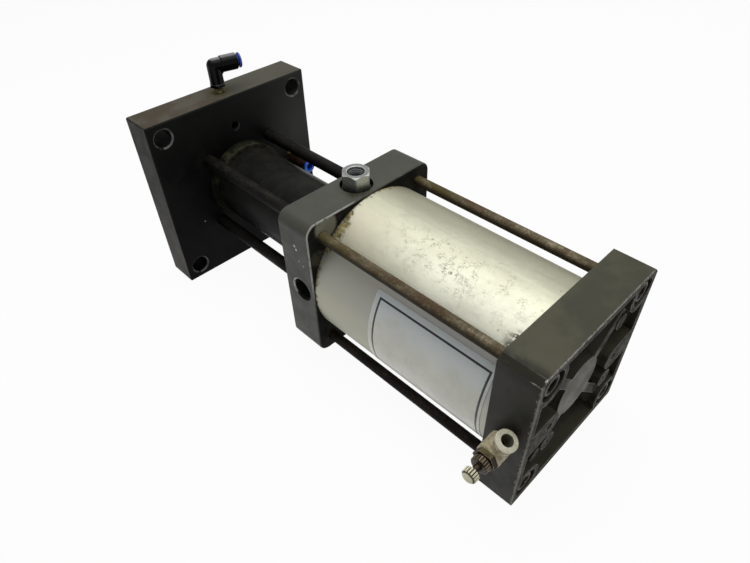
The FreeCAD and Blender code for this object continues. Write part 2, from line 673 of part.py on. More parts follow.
def working_rod():
    spindle = SPINDLE_DIA / 2
    radius = ROD_DIA / 2
    body = turned([(X_WORK_NUT, 0), (X_WORK_NUT, spindle), (X_ROD, spindle), (X_ROD, radius),
                   (ROD_REACH - ROD_CHAMFER, radius), (ROD_REACH, radius - ROD_CHAMFER), (ROD_REACH, 0)])
    cuts = [rod(ROD_REACH - ROD_THREAD_DEPTH, ROD_REACH, ROD_THREAD),
            mouth(ROD_REACH, ROD_THREAD, ROD_CHAMFER, -1)]
    flat_end = ROD_REACH - ROD_FLATS_SETBACK
    for side in (1, -1):
        low = ROD_FLATS / 2 if side > 0 else -ROD_DIA
        cuts.append(Part.makeBox(ROD_FLATS_LENGTH, 2 * ROD_DIA, ROD_DIA - ROD_FLATS / 2,
                                 V(flat_end - ROD_FLATS_LENGTH, -ROD_DIA, low)))
    return body.cut(cuts)


def gland_ring(start, end, outer, shaft):
    """A bush or seal that stays in its housing round a moving shaft."""
    return ring(start, end, outer - 2 * SEAT_GAP, shaft + 2 * RUN_GAP)


def oil_port_adapter():
    washer_top = WASHER_THICK - OIL_PORT_SINK
    top = washer_top + OIL_PORT_HEIGHT
    body = joined([hexagon(washer_top, top, OIL_PORT_FLATS),
                   rod(-OIL_PORT_SINK - OIL_PORT_DEPTH, washer_top, OIL_PORT_SPIGOT)])
    round_edge = chamfered_rod(-2 * OIL_PORT_HEIGHT, top, OIL_PORT_ROUND, OIL_PORT_CHAMFER)
    body = body.common(round_edge)
    body = body.cut([rod(top - OIL_PORT_THREAD_DEPTH, top, OIL_PORT_THREAD),
                     mouth(top, OIL_PORT_THREAD, OIL_PORT_MOUTH, -1),
                     rod(-2 * OIL_PORT_HEIGHT, top, DRILL_DIA)])
    adapter = placed(body, V(X_MIDDLE, 0, MIDDLE_WIDTH / 2), UP)
    adapter.rotate(V(X_MIDDLE, 0, 0), UP, OIL_PORT_TURN)
    return adapter


def oil_port_washer():
    washer = ring(-OIL_PORT_SINK, WASHER_THICK - OIL_PORT_SINK, WASHER_DIA, OIL_PORT_SPIGOT + 2 * SEAT_GAP)
    return placed(washer, V(X_MIDDLE, 0, MIDDLE_WIDTH / 2), UP)


def release_ring(end, dia):
    """The ring that frees the tube: end is the fitting's mouth along the port's own axis."""
    flange = end + RING_STANDOFF
    body = joined([rod(end - RING_SLEEVE_DEPTH, flange + RING_THICK, RING_SLEEVE),
                   chamfered_rod(flange, flange + RING_THICK, dia, RING_CHAMFER)])
    return body.cut(rod(end - RING_SLEEVE_DEPTH, flange + RING_THICK, TUBE_HOLE))


def socket(end):
    """The hole of a push-in port, with its mouth at end."""
    return rod(end - SOCKET_DEPTH, end, RING_SLEEVE + 2 * RUN_GAP)


ELBOW_BASE = V(X_FLANGE_MIDDLE, 0, FLANGE_WIDTH / 2)
ELBOW_BEND = ELBOW_BASE + UP * ELBOW_ARM_HEIGHT
ELBOW_AXIS = V(-math.sin(math.radians(ELBOW_TURN)), -math.cos(math.radians(ELBOW_TURN)), 0)
ELBOW_SEAL_AT = ELBOW_NECK + ELBOW_JOURNAL_LENGTH / 2


def elbow_stem():
    top = ELBOW_NECK + ELBOW_JOURNAL_LENGTH
    groove = ELBOW_SEAL_SECTION + SEAL_GAP
    body = joined([rod(-FITTING_THREAD_DEPTH, ELBOW_NECK, FITTING_THREAD),
                   rod(ELBOW_NECK, top, ELBOW_JOURNAL)])
    body = body.cut([rod(-FITTING_THREAD_DEPTH, top, STEM_BORE),
                     ring(ELBOW_SEAL_AT - groove, ELBOW_SEAL_AT + groove, ELBOW_JOURNAL + 2 * RUN_GAP,
                          ELBOW_JOURNAL - 2 * groove)])
    return placed(body, ELBOW_BASE, UP)


def elbow_seal():
    radius = ELBOW_SEAL_SECTION / 2
    body = Part.makeTorus(ELBOW_JOURNAL / 2 - radius, radius, V(ELBOW_SEAL_AT, 0, 0), AHEAD)
    return placed(body, ELBOW_BASE, UP)


def elbow_web():
    """The web in the elbow's inner corner."""
    across = ELBOW_AXIS.cross(UP)
    start = ELBOW_BEND - across * (ELBOW_WEB_THICK / 2)
    corners = [start, start + ELBOW_AXIS * ELBOW_WEB, start - UP * ELBOW_WEB, start]
    return Part.Face(Part.makePolygon(corners)).extrude(across * ELBOW_WEB_THICK)


def elbow_body():
    barrel = joined([rod(ELBOW_NECK, ELBOW_ARM_HEIGHT, ELBOW_BARREL),
                     hexagon(ELBOW_NECK, ELBOW_NECK + ELBOW_BASE_HEIGHT, ELBOW_BASE_FLATS)])
    arm = joined([rod(0, ELBOW_ARM_LENGTH, ELBOW_BARREL),
                  chamfered_rod(ELBOW_ARM_STEP, ELBOW_ARM_LENGTH, ELBOW_ARM, FITTING_CHAMFER)])
    body = joined([placed(barrel, ELBOW_BASE, UP), placed(arm, ELBOW_BEND, ELBOW_AXIS),
                   Part.makeSphere(ELBOW_BARREL / 2, ELBOW_BEND), elbow_web()])
    journal = rod(ELBOW_NECK, ELBOW_NECK + ELBOW_JOURNAL_LENGTH + SEAL_GAP, ELBOW_JOURNAL + 2 * RUN_GAP)
    return body.cut([placed(journal, ELBOW_BASE, UP),
                     drill(ELBOW_BASE + UP * ELBOW_NECK, ELBOW_BEND, DRILL_DIA),
                     placed(rod(0, ELBOW_ARM_LENGTH, DRILL_DIA), ELBOW_BEND, ELBOW_AXIS),
                     placed(socket(ELBOW_ARM_LENGTH), ELBOW_BEND, ELBOW_AXIS)])


def elbow_release_ring():
    return placed(release_ring(ELBOW_ARM_LENGTH, ELBOW_RING), ELBOW_BEND, ELBOW_AXIS)


STRAIGHT_BASE = V(X_FLANGE, -STRAIGHT_AT, 0)
STRAIGHT_END = STRAIGHT_HEX + STRAIGHT_BODY_LENGTH


def straight_stem():
    end = STRAIGHT_HEX + STRAIGHT_NIPPLE_LENGTH
    body = joined([rod(-FITTING_THREAD_DEPTH, 0, FITTING_THREAD), hexagon(0, STRAIGHT_HEX, STRAIGHT_FLATS),
                   rod(STRAIGHT_HEX, end, STRAIGHT_NIPPLE)])
    return placed(body.cut(rod(-FITTING_THREAD_DEPTH, end, STEM_BORE)), STRAIGHT_BASE, BEHIND)


def straight_body():
    body = chamfered_rod(STRAIGHT_HEX, STRAIGHT_END, STRAIGHT_BODY, FITTING_CHAMFER)
    nipple = rod(STRAIGHT_HEX, STRAIGHT_HEX + STRAIGHT_NIPPLE_LENGTH, STRAIGHT_NIPPLE + 2 * SEAT_GAP)
    body = body.cut([nipple, rod(STRAIGHT_HEX, STRAIGHT_END, DRILL_DIA), socket(STRAIGHT_END)])
    return placed(body, STRAIGHT_BASE, BEHIND)


def straight_release_ring():
    return placed(release_ring(STRAIGHT_END, STRAIGHT_RING), STRAIGHT_BASE, BEHIND)


VALVE_BASE = V(X_CAP, CAP_SIDE, 0)
VALVE_AXIS = V(-math.sin(math.radians(VALVE_TURN)), 0, math.cos(math.radians(VALVE_TURN)))
VALVE_PORT_AT = VALVE_COLLAR_THICK + VALVE_BODY_LENGTH / 2
VALVE_PORT = VALVE_BASE + SIDEWAYS * VALVE_PORT_AT
VALVE_HEX_AT = VALVE_COLLAR_THICK + VALVE_BODY_LENGTH
LOCKNUT_AT = VALVE_HEX_AT + VALVE_HEX
LOCKNUT_END = LOCKNUT_AT + LOCKNUT_THICK
KNOB_AT = LOCKNUT_END + KNOB_GAP
KNOB_END = KNOB_AT + KNOB_LENGTH
NEEDLE_START = LOCKNUT_END - NEEDLE_DEPTH
NEEDLE_END = KNOB_END - KNOB_CAP


def valve_stem():
    collar = joined([rod(-FITTING_THREAD_DEPTH, 0, VALVE_THREAD),
                     rod(0, VALVE_COLLAR_THICK, VALVE_COLLAR),
                     rod(VALVE_COLLAR_THICK, VALVE_HEX_AT, VALVE_JOURNAL),
                     hexagon(VALVE_HEX_AT, LOCKNUT_AT, VALVE_FLATS),
                     rod(LOCKNUT_AT, LOCKNUT_END, VALVE_NOSE)])
    travel = NEEDLE_TIP + KNOB_GAP
    cross = drill(V(VALVE_PORT_AT, 0, -VALVE_JOURNAL), V(VALVE_PORT_AT, 0, VALVE_JOURNAL), STEM_BORE)
    body = collar.cut([rod(-FITTING_THREAD_DEPTH, LOCKNUT_END, STEM_BORE),
                       rod(NEEDLE_START - travel, LOCKNUT_END, NEEDLE_DIA + 2 * RUN_GAP), cross])
    return placed(body, VALVE_BASE, SIDEWAYS)


def valve_body():
    barrel = chamfered_rod(VALVE_COLLAR_THICK, VALVE_HEX_AT, VALVE_BODY, FITTING_CHAMFER)
    arm = chamfered_rod(0, VALVE_ARM_LENGTH, VALVE_ARM, FITTING_CHAMFER)
    body = joined([placed(barrel, VALVE_BASE, SIDEWAYS), placed(arm, VALVE_PORT, VALVE_AXIS)])
    journal = rod(VALVE_COLLAR_THICK, VALVE_HEX_AT, VALVE_JOURNAL + 2 * RUN_GAP)
    return body.cut([placed(journal, VALVE_BASE, SIDEWAYS),
                     placed(rod(0, VALVE_ARM_LENGTH, DRILL_DIA), VALVE_PORT, VALVE_AXIS),
                     placed(socket(VALVE_ARM_LENGTH), VALVE_PORT, VALVE_AXIS)])


def valve_release_ring():
    return placed(release_ring(VALVE_ARM_LENGTH, VALVE_RING), VALVE_PORT, VALVE_AXIS)


def valve_locknut():
    body = fluted(LOCKNUT_AT, LOCKNUT_END, LOCKNUT_DIA, KNURL_RIBS, KNURL_DEPTH)
    body = body.common(chamfered_rod(LOCKNUT_AT, LOCKNUT_END, LOCKNUT_DIA, LOCKNUT_CHAMFER))
    return placed(body.cut(rod(LOCKNUT_AT, LOCKNUT_END, VALVE_NOSE + 2 * SEAT_GAP)), VALVE_BASE, SIDEWAYS)


def valve_needle():
    radius = NEEDLE_DIA / 2
    body = turned([(NEEDLE_START - NEEDLE_TIP, 0), (NEEDLE_START - NEEDLE_TIP, NEEDLE_POINT / 2),
                   (NEEDLE_START, radius), (NEEDLE_END, radius), (NEEDLE_END, 0)])
    return placed(body, VALVE_BASE, SIDEWAYS)


def valve_knob():
    body = fluted(KNOB_AT, KNOB_END, KNOB_DIA, KNOB_RIBS, RIB_DEPTH)
    body = body.common(chamfered_rod(KNOB_AT - KNOB_SLOPE, KNOB_END, KNOB_DIA, KNOB_SLOPE))
    return placed(body.cut(rod(KNOB_AT, NEEDLE_END, NEEDLE_DIA + 2 * RUN_GAP)), VALVE_BASE, SIDEWAYS)


def all_nodes():
    piston_rear, piston_middle, piston_front = groove_places(PISTON_LENGTH)
    work_rear, work_middle, work_front = groove_places(WORK_PISTON_LENGTH)
    nodes = {
        "front_flange": front_flange(),
        "oil_tube": oil_tube(),
        "middle_block": middle_block(),
        "air_tube": air_tube(),
        "label_film": label_film(),
        "rear_cap": rear_cap(),
        "front_tie_rod_nuts": front_tie_rod_nuts(),
        "rear_sleeve_nuts": rear_sleeve_nuts(),
        "oil_tube_front_seal": seal_ring(X_SEAL_FLANGE, OIL_SEAT),
        "oil_tube_rear_seal": seal_ring(X_SEAL_OIL_REAR, OIL_SEAT),
        "air_tube_front_seal": seal_ring(X_SEAL_AIR_FRONT, AIR_SPIGOT - 2 * RING_SECTION),
        "air_tube_rear_seal": seal_ring(X_SEAL_AIR_REAR, AIR_SPIGOT - 2 * RING_SECTION),
        "booster_piston": piston(X_PISTON, PISTON_LENGTH, AIR_BORE, PISTON_SEAL_DEPTH),
        "booster_rear_seal": booster_seal(piston_rear),
        "booster_wear_ring": piston_ring(X_PISTON, piston_middle, WEAR_WIDTH, AIR_BORE, WEAR_DEPTH),
        "booster_front_seal": booster_seal(piston_front),
        "plunger": plunger(),
        "plunger_nut": spindle_nut(X_PISTON - PLUNGER_NUT_THICK, PLUNGER_NUT_THICK),
        "piston_bumper": ring(X_SPIGOT_REAR, X_PISTON, BUMPER_OUTER, BUMPER_INNER),
        "plunger_bush": gland_ring(X_SPIGOT_FRONT, X_PLUNGER_BUSH_END, GLAND_DIA, PLUNGER_DIA),
        "plunger_seal": gland_ring(X_PLUNGER_SEAL, X_OIL_REAR, GLAND_DIA, PLUNGER_DIA),
        "working_piston": piston(X_WORK_PISTON, WORK_PISTON_LENGTH, OIL_BORE, WORK_SEAL_DEPTH),
        "working_rear_seal": working_seal(work_rear),
        "working_wear_ring": piston_ring(X_WORK_PISTON, work_middle, WEAR_WIDTH, OIL_BORE, WEAR_DEPTH),
        "working_front_seal": working_seal(work_front),
        "working_rod": working_rod(),
        "working_nut": spindle_nut(X_WORK_NUT, WORK_NUT_THICK),
        "rod_bush": gland_ring(X_OIL_FRONT, X_ROD_BUSH_END, GLAND_DIA, ROD_DIA),
        "rod_seal": gland_ring(X_ROD_SEAL, X_WIPER, SEAL_HOUSING, ROD_DIA),
        "rod_wiper": gland_ring(X_WIPER, 0, SEAL_HOUSING, ROD_DIA),
        "oil_port_adapter": oil_port_adapter(),
        "oil_port_washer": oil_port_washer(),
        "elbow_stem": elbow_stem(),
        "elbow_seal": elbow_seal(),
        "elbow_body": elbow_body(),
        "elbow_release_ring": elbow_release_ring(),
        "straight_stem": straight_stem(),
        "straight_body": straight_body(),
        "straight_release_ring": straight_release_ring(),
        "valve_stem": valve_stem(),
        "valve_body": valve_body(),
        "valve_release_ring": valve_release_ring(),
        "valve_locknut": valve_locknut(),
        "valve_needle": valve_needle(),
        "valve_knob": valve_knob(),
    }
    for number, (y, z) in enumerate(at_corners(FRONT_ROD_PITCH), 1):
        nodes["front_tie_rod_%d" % number] = front_tie_rod(y, z)
    for number, (y, z) in enumerate(at_corners(REAR_ROD_PITCH), 1):
        nodes["rear_tie_rod_%d" % number] = rear_tie_rod(y, z)
    return nodes


def main():
    os.makedirs("parts", exist_ok=True)
    for name, shape in all_nodes().items():
        shape.exportStep("parts/%s.step" % name)
        box = shape.BoundBox
        print("%-24s solids %d valid %s volume %.0f  X %.1f..%.1f Y %.1f..%.1f Z %.1f..%.1f" % (
            name, len(shape.Solids), shape.isValid(), shape.Volume,
            box.XMin, box.XMax, box.YMin, box.YMax, box.ZMin, box.ZMax))


main()
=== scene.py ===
import math

import bpy
from mathutils import Matrix, Vector


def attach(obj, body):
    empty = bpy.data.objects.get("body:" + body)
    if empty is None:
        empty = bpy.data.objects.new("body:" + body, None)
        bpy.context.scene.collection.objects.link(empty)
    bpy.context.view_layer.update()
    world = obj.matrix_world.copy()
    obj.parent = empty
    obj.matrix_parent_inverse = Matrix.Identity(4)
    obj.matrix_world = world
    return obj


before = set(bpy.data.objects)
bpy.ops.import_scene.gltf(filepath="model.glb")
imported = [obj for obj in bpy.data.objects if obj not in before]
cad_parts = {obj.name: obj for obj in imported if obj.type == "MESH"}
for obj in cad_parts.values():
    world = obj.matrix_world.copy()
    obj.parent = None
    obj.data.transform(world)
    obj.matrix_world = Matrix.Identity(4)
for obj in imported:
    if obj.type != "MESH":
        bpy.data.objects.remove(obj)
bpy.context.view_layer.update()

# Places on the cylinder, in metres, as the solids have them
FLANGE_BACK = -0.035
FLANGE_HALF = 0.090
MOUNT_AT = 0.075
MOUNT_RADIUS = 0.0085
MOUNT_CHAMFER = 0.0015
COLLAR_RADIUS = 0.04155
BLOCK_BACK = -0.229
BLOCK_SIDE = 0.0692
BLOCK_MIDDLE = -0.211
TUBE_RADIUS = 0.068
CAP_FRONT = -0.4038
CAP_BACK = -0.435
CAP_HALF = 0.070
CAP_DISC = 0.024
VALVE_X = -0.4194
VALVE_PORT_Y = 0.0801
VALVE_TURN = math.radians(21.6)
FLANGE_MIDDLE = -0.0175
REAR_ROD_AT = 0.055
OIL_PORT_TOP = 0.0816
OIL_PORT_RADIUS = 0.0066
OIL_RECESS = 0.014
SIDE_PORT_X = -0.213
SIDE_PORT_HEIGHT = -0.0015
SIDE_PORT_RADIUS = 0.0102
SIDE_PORT_CHAMFER = 0.001
SPARE_HEIGHT = 0.060
SPARE_RADIUS = 0.00425
ROD_END = 0.025
ROD_THREAD_RADIUS = 0.007
SLEEVE_FACE = -0.434
SLEEVE_RADIUS = 0.0051
LABEL_FRONT = -0.291
LABEL_REAR = -0.398
LABEL_TOP = 36.5
LABEL_BOTTOM = -62.0
LABEL_MARGIN_FRONT = 0.0045
LABEL_MARGIN_REAR = 0.0025
LABEL_MARGIN_AROUND = 4.4
VALVE_RING_BORE = 0.0043
KNOB_RIB_TIP = 0.0051
KNOB_RIB_ROOT = 0.0047
KNURL_ROOT = 0.0061
KNURL_TIP = 0.00635
CAP_RIM_INSIDE = 0.064

# Marks of use: centres on the face that has them, some with a radius
FLANGE_KNOCK = (0.057, -0.027)
BLOCK_RUBBED = (0.05, 0.062)
BLOCK_STREAK = (0.061, 0.037)
BLOCK_STAIN = (0.036, 0.064)
BLOCK_KNOCKS = ((-0.2109, 0.044, 0.0016), (-0.2128, 0.0413, 0.0014),
                (-0.2143, 0.0303, 0.0007), (-0.2197, 0.0278, 0.0007))
OIL_SPILL = (BLOCK_MIDDLE - 0.012, 0.008)
CAP_KNOCK = (CAP_BACK + 0.0008, 0.0658)
GREASE_CORNER = (0.0435, 0.0525)

# Corroded places on the large tube: share of the length along it, and the centre at that share
PITS_ALONG = 0.55
PITS_MIDDLE = (-0.1775, 0.021)
CRAZING_ALONG = 0.4
CRAZING_MIDDLE = (-0.131, 0.022)

# Share of a spot's radius that is covered all over
SPOT_CORE = 0.6

# Screw threads: radius at the root, radius at the crest, pitch, number of turns
OIL_PORT_SCREW = (OIL_PORT_RADIUS, 0.0059, 0.00175, 4)
SIDE_PORT_SCREW = (SIDE_PORT_RADIUS, 0.0094, 0.0018, 7)
ROD_END_SCREW = (ROD_THREAD_RADIUS, 0.0063, 0.0015, 13)
SPARE_SCREW = (SPARE_RADIUS, 0.0038, 0.0015, 7)
SLEEVE_SCREW = (SLEEVE_RADIUS, 0.0045, 0.0012, 4)
NECK_SCREW = (0.0048, 0.0053, 0.0011, 5)
THREAD_WALL = 0.0002
THREAD_CORNERS = 40

# Levels of the floor and of the light
FLOOR_SIZE = 60.0
FLOOR_GREY = 0.9
FLOOR_GLOW = 0.95
ROOM_LIGHT = 0.22
ROOM_GREY = 0.5
LAMP_PLACE = (-0.1, -0.15, 1.25)
LAMP_TARGET = (-0.22, 0.0, 0.0)
LAMP_SIZE = 1.3
LAMP_POWER = 12.5

# Floor the cylinder lies on: under the flange's back edge and the cap's back edge
FLOOR_FRONT = (-0.034, -0.0901)
FLOOR_REAR = (-0.435, -0.0699)

# Camera of the photograph
CAMERA_PLACE = (-0.513276, 0.270454, 0.328424)
CAMERA_RIGHT = (-0.70505761, -0.70874998, -0.02381682)
CAMERA_DOWN = (-0.46427846, 0.48672538, -0.7399621)
CAMERA_AHEAD = (0.53604038, -0.51065827, -0.67222678)
CAMERA_LENS = 27.735
SENSOR = 36.0


def fill(tree, socket, value):
    """Sets a socket to a value, or links another node's output to it."""
    if isinstance(value, bpy.types.NodeSocket):
        tree.links.new(value, socket)
    else:
        socket.default_value = value


def node(tree, kind, inputs=None, **settings):
    """Places a node with its settings and sockets."""
    made = tree.nodes.new(kind)
    for name, value in settings.items():
        setattr(made, name, value)
    for name, value in (inputs or {}).items():
        fill(tree, made.inputs[name], value)
    return made


def coords(tree):
    return node(tree, "ShaderNodeTexCoord").outputs["Object"]


def axes(tree):
    """The object coordinates as three separate values."""
    parts = node(tree, "ShaderNodeSeparateXYZ", {"Vector": coords(tree)})
    return parts.outputs["X"], parts.outputs["Y"], parts.outputs["Z"]


def facing(tree):
    """The surface's own direction as three separate values."""
    normal = node(tree, "ShaderNodeNewGeometry").outputs["Normal"]
    parts = node(tree, "ShaderNodeSeparateXYZ", {"Vector": normal})
    return parts.outputs["X"], parts.outputs["Y"], parts.outputs["Z"]


def calc(tree, operation, first, second=0.0):
    return node(tree, "ShaderNodeMath", {0: first, 1: second}, operation=operation).outputs[0]


def plus(tree, first, second):
    return calc(tree, "ADD", first, second)


def minus(tree, first, second):
    return calc(tree, "SUBTRACT", first, second)


def times(tree, first, second):
    return calc(tree, "MULTIPLY", first, second)


def either(tree, first, second):
    return calc(tree, "MAXIMUM", first, second)


def absolute(tree, value):
    return calc(tree, "ABSOLUTE", value)


def distance(tree, first, second):
    """The length of a two-part offset."""
    squares = plus(tree, times(tree, first, first), times(tree, second, second))
    return calc(tree, "SQRT", squares)


def fade(tree, value, low, high, start=0.0, end=1.0):
    """Maps a value smoothly from low..high to start..end."""
    inputs = {"Value": value, "From Min": low, "From Max": high, "To Min": start, "To Max": end}
    return node(tree, "ShaderNodeMapRange", inputs, interpolation_type="SMOOTHSTEP").outputs["Result"]


def level(tree, mask, low, high):
    """Maps a mask to low where it is nothing and high where it is full."""
    return fade(tree, mask, 0.0, 1.0, low, high)


def beside(tree, place, centre):
    """Distance from a line along the third axis, through a centre given on the other two."""
    return distance(tree, minus(tree, place[0], centre[0]), minus(tree, place[1], centre[1]))


def between(tree, value, low, high, soft):
    """One inside low..high, fading out over a soft border."""
    return times(tree, fade(tree, value, low - soft, low), fade(tree, value, high + soft, high))


def spot(tree, place, centre, radius):
    """A round spot with a soft border."""
    return fade(tree, beside(tree, place, centre), radius, SPOT_CORE * radius)


def tint(tree, share, first, second):
    """Mixes two colours by a mask."""
    made = tree.nodes.new("ShaderNodeMix")
    made.data_type = "RGBA"
    fill(tree, made.inputs[0], share)
    fill(tree, made.inputs[6], first)
    fill(tree, made.inputs[7], second)
    return made.outputs[2]


def grain(tree, vector, scale, detail=5.0, roughness=0.6):
    inputs = {"Vector": vector, "Scale": scale, "Detail": detail, "Roughness": roughness}
    return node(tree, "ShaderNodeTexNoise", inputs).outputs["Fac"]


def rgb(red, green, blue):
    return (red, green, blue, 1.0)


def scaled(colour, share):
    """The same hue, darker or lighter."""
    return rgb(*(min(1.0, share * part) for part in colour[:3]))


def effect(name, inputs, outputs):
    """An empty shader node group with its sockets."""
    tree = bpy.data.node_groups.new(name, "ShaderNodeTree")
    for label, kind, value in inputs:
        socket = tree.interface.new_socket(label, in_out="INPUT", socket_type=kind)
        socket.default_value = value
    for label, kind in outputs:
        tree.interface.new_socket(label, in_out="OUTPUT", socket_type=kind)
    return tree, node(tree, "NodeGroupInput").outputs, node(tree, "NodeGroupOutput").inputs


NUMBER = "NodeSocketFloat"
DIRECTION = "NodeSocketVector"


def make_patches():
    """Cloudy patches: stains, tarnish, uneven paint."""
    tree, given, put = effect("patches", [("Scale", NUMBER, 20.0), ("Stretch", DIRECTION, (1.0, 1.0, 1.0)),
                                          ("Low", NUMBER, 0.45), ("High", NUMBER, 0.6)], [("Mask", NUMBER)])
    place = node(tree, "ShaderNodeVectorMath", {0: coords(tree), 1: given["Stretch"]}, operation="MULTIPLY")
    cloud = grain(tree, place.outputs[0], given["Scale"])
    fill(tree, put["Mask"], fade(tree, cloud, given["Low"], given["High"]))
    return tree


def make_specks():
    """Small round spots: chips, dirt, corrosion pits."""
    tree, given, put = effect("specks", [("Scale", NUMBER, 300.0), ("Size", NUMBER, 0.3),
                                         ("Share", NUMBER, 0.2)], [("Mask", NUMBER)])
    wobble = node(tree, "ShaderNodeTexNoise",
                  {"Vector": coords(tree), "Scale": given["Scale"], "Detail": 2.0})
    shift = node(tree, "ShaderNodeVectorMath",
                 {0: wobble.outputs["Color"], "Scale": 0.0015}, operation="SCALE")
    place = node(tree, "ShaderNodeVectorMath", {0: coords(tree), 1: shift.outputs[0]})
    cells = node(tree, "ShaderNodeTexVoronoi", {"Vector": place.outputs[0], "Scale": given["Scale"]})
    chance = node(tree, "ShaderNodeSeparateColor", {"Color": cells.outputs["Color"]})
    chosen = calc(tree, "LESS_THAN", chance.outputs["Red"], given["Share"])
    reach = times(tree, given["Size"], level(tree, chance.outputs["Green"], 0.35, 1.0))
    inside = fade(tree, minus(tree, reach, cells.outputs["Distance"]), 0.0, 0.08)
    fill(tree, put["Mask"], times(tree, inside, chosen))
    return tree


def make_worn_edges():
    """Paint rubbed off along sharp edges, in uneven runs."""
    tree, given, put = effect("worn_edges", [("Width", NUMBER, 0.0008), ("Scale", NUMBER, 90.0),
                                             ("Amount", NUMBER, 0.5)], [("Mask", NUMBER)])
    rounded = node(tree, "ShaderNodeBevel", {"Radius": given["Width"]}, samples=6)
    flat = node(tree, "ShaderNodeNewGeometry").outputs["True Normal"]
    agree = node(tree, "ShaderNodeVectorMath",
                 {0: rounded.outputs["Normal"], 1: flat}, operation="DOT_PRODUCT")
    edge = fade(tree, agree.outputs["Value"], 0.985, 0.82)
    cloud = grain(tree, coords(tree), given["Scale"], 6.0, 0.7)
    broken = fade(tree, plus(tree, cloud, given["Amount"]), 0.85, 1.1)
    fill(tree, put["Mask"], times(tree, edge, broken))
    return tree


def make_grit():
    """A fine uneven surface, as a normal."""
    tree, given, put = effect("grit", [("Scale", NUMBER, 900.0), ("Depth", NUMBER, 0.0001)],
                              [("Normal", DIRECTION)])
    cloud = grain(tree, coords(tree), given["Scale"], 4.0, 0.65)
    bump = node(tree, "ShaderNodeBump", {"Strength": 1.0, "Distance": given["Depth"], "Height": cloud})
    fill(tree, put["Normal"], bump.outputs["Normal"])
    return tree


PATCHES = make_patches()
SPECKS = make_specks()
WORN_EDGES = make_worn_edges()
GRIT = make_grit()


def use(tree, group, output="Mask", **values):
    """Places one of the shared effects with its own values."""
    made = tree.nodes.new("ShaderNodeGroup")
    made.node_tree = group
    for name, value in values.items():
        fill(tree, made.inputs[name], value)
    return made.outputs[output]


def patches(tree, scale, low=0.45, high=0.6, stretch=(1.0, 1.0, 1.0)):
    return use(tree, PATCHES, Scale=scale, Low=low, High=high, Stretch=stretch)


def specks(tree, scale, size, share):
    return use(tree, SPECKS, Scale=scale, Size=size, Share=share)


def worn_edges(tree, width, scale, amount):
    return use(tree, WORN_EDGES, Width=width, Scale=scale, Amount=amount)


def grit(tree, scale, depth):
    return use(tree, GRIT, "Normal", Scale=scale, Depth=depth)


def material(name):
    """A new material: its tree and its main shader."""
    made = bpy.data.materials.new(name)
    made.use_nodes = True
    tree = made.node_tree
    return made, tree, tree.nodes["Principled BSDF"]


def surface(tree, shader, colour, rough, metal=0.0, normal=None, gloss=0.5):
    """Fills the main shader's sockets."""
    fill(tree, shader.inputs["Base Color"], colour)
    fill(tree, shader.inputs["Roughness"], rough)
    fill(tree, shader.inputs["Metallic"], metal)
    fill(tree, shader.inputs["Specular IOR Level"], gloss)
    if normal is not None:
        fill(tree, shader.inputs["Normal"], normal)


def flange_black():
    """Near-black satin plate with a painted sheen and painted shade: grey-brown rims, bright hole chamfers,
    olive collar with painted shade low on it, a painted highlight on the spare hole's lip.
    """
    made, tree, shader = material("flange_black")
    x, y, z = axes(tree)
    nx, ny, _ = facing(tree)
    colour = tint(tree, patches(tree, 30.0), rgb(0.0045, 0.0043, 0.0042), rgb(0.0085, 0.0084, 0.008))
    # painted light on the plate: a painted sheen lighter towards -Y, lighter towards the top, and near-black
    # painted shade towards the bottom
    colour = tint(tree, fade(tree, y, -0.02, -0.08), colour, rgb(0.062, 0.063, 0.057))
    colour = tint(tree, times(tree, fade(tree, z, 0.03, 0.085), 0.6), colour, rgb(0.017, 0.017, 0.016))
    colour = tint(tree, times(tree, fade(tree, z, 0.03, -0.03), 0.9), colour, rgb(0.0016, 0.0018, 0.0018))
    rim, rubbed = flange_rim(tree, y, z, nx, ny)
    colour = tint(tree, rim, colour, rubbed)
    collar = times(tree, fade(tree, distance(tree, y, z), COLLAR_RADIUS + 0.0008, COLLAR_RADIUS + 0.0003),
                   fade(tree, x, FLANGE_BACK, FLANGE_BACK - 0.001))
    olive = tint(tree, patches(tree, 70.0), rgb(0.012, 0.012, 0.008), rgb(0.05, 0.047, 0.03))
    # painted shade: the collar darker towards its lower part
    olive = tint(tree, times(tree, fade(tree, z, 0.026, 0.006), 0.85), olive, rgb(0.006, 0.006, 0.005))
    colour = tint(tree, collar, colour, olive)
    ring, spare, knock = flange_holes(tree, x, y, z)
    colour = tint(tree, ring, colour, rgb(0.19, 0.19, 0.18))
    # painted highlight on the spare hole's lip, at its lower right
    colour = tint(tree, times(tree, spare, 0.7), colour, rgb(0.09, 0.09, 0.085))
    bright = either(tree, worn_edges(tree, 0.001, 110.0, 0.3), knock)
    colour = tint(tree, bright, colour, rgb(0.3, 0.29, 0.27))
    stem = beside(tree, (x, y), (FLANGE_MIDDLE, 0.0))
    top = fade(tree, z, FLANGE_HALF - 0.001, FLANGE_HALF - 0.0001)
    stain = times(tree, fade(tree, stem, 0.014, 0.005), top)
    stain = times(tree, stain, patches(tree, 150.0, 0.3, 0.6))
    colour = tint(tree, stain, colour, rgb(0.11, 0.095, 0.03))
    rough = level(tree, patches(tree, 55.0, 0.3, 0.7), 0.47, 0.57)
    surface(tree, shader, colour, rough, times(tree, bright, 0.8), grit(tree, 700.0, 0.00008), 0.07)
    return made


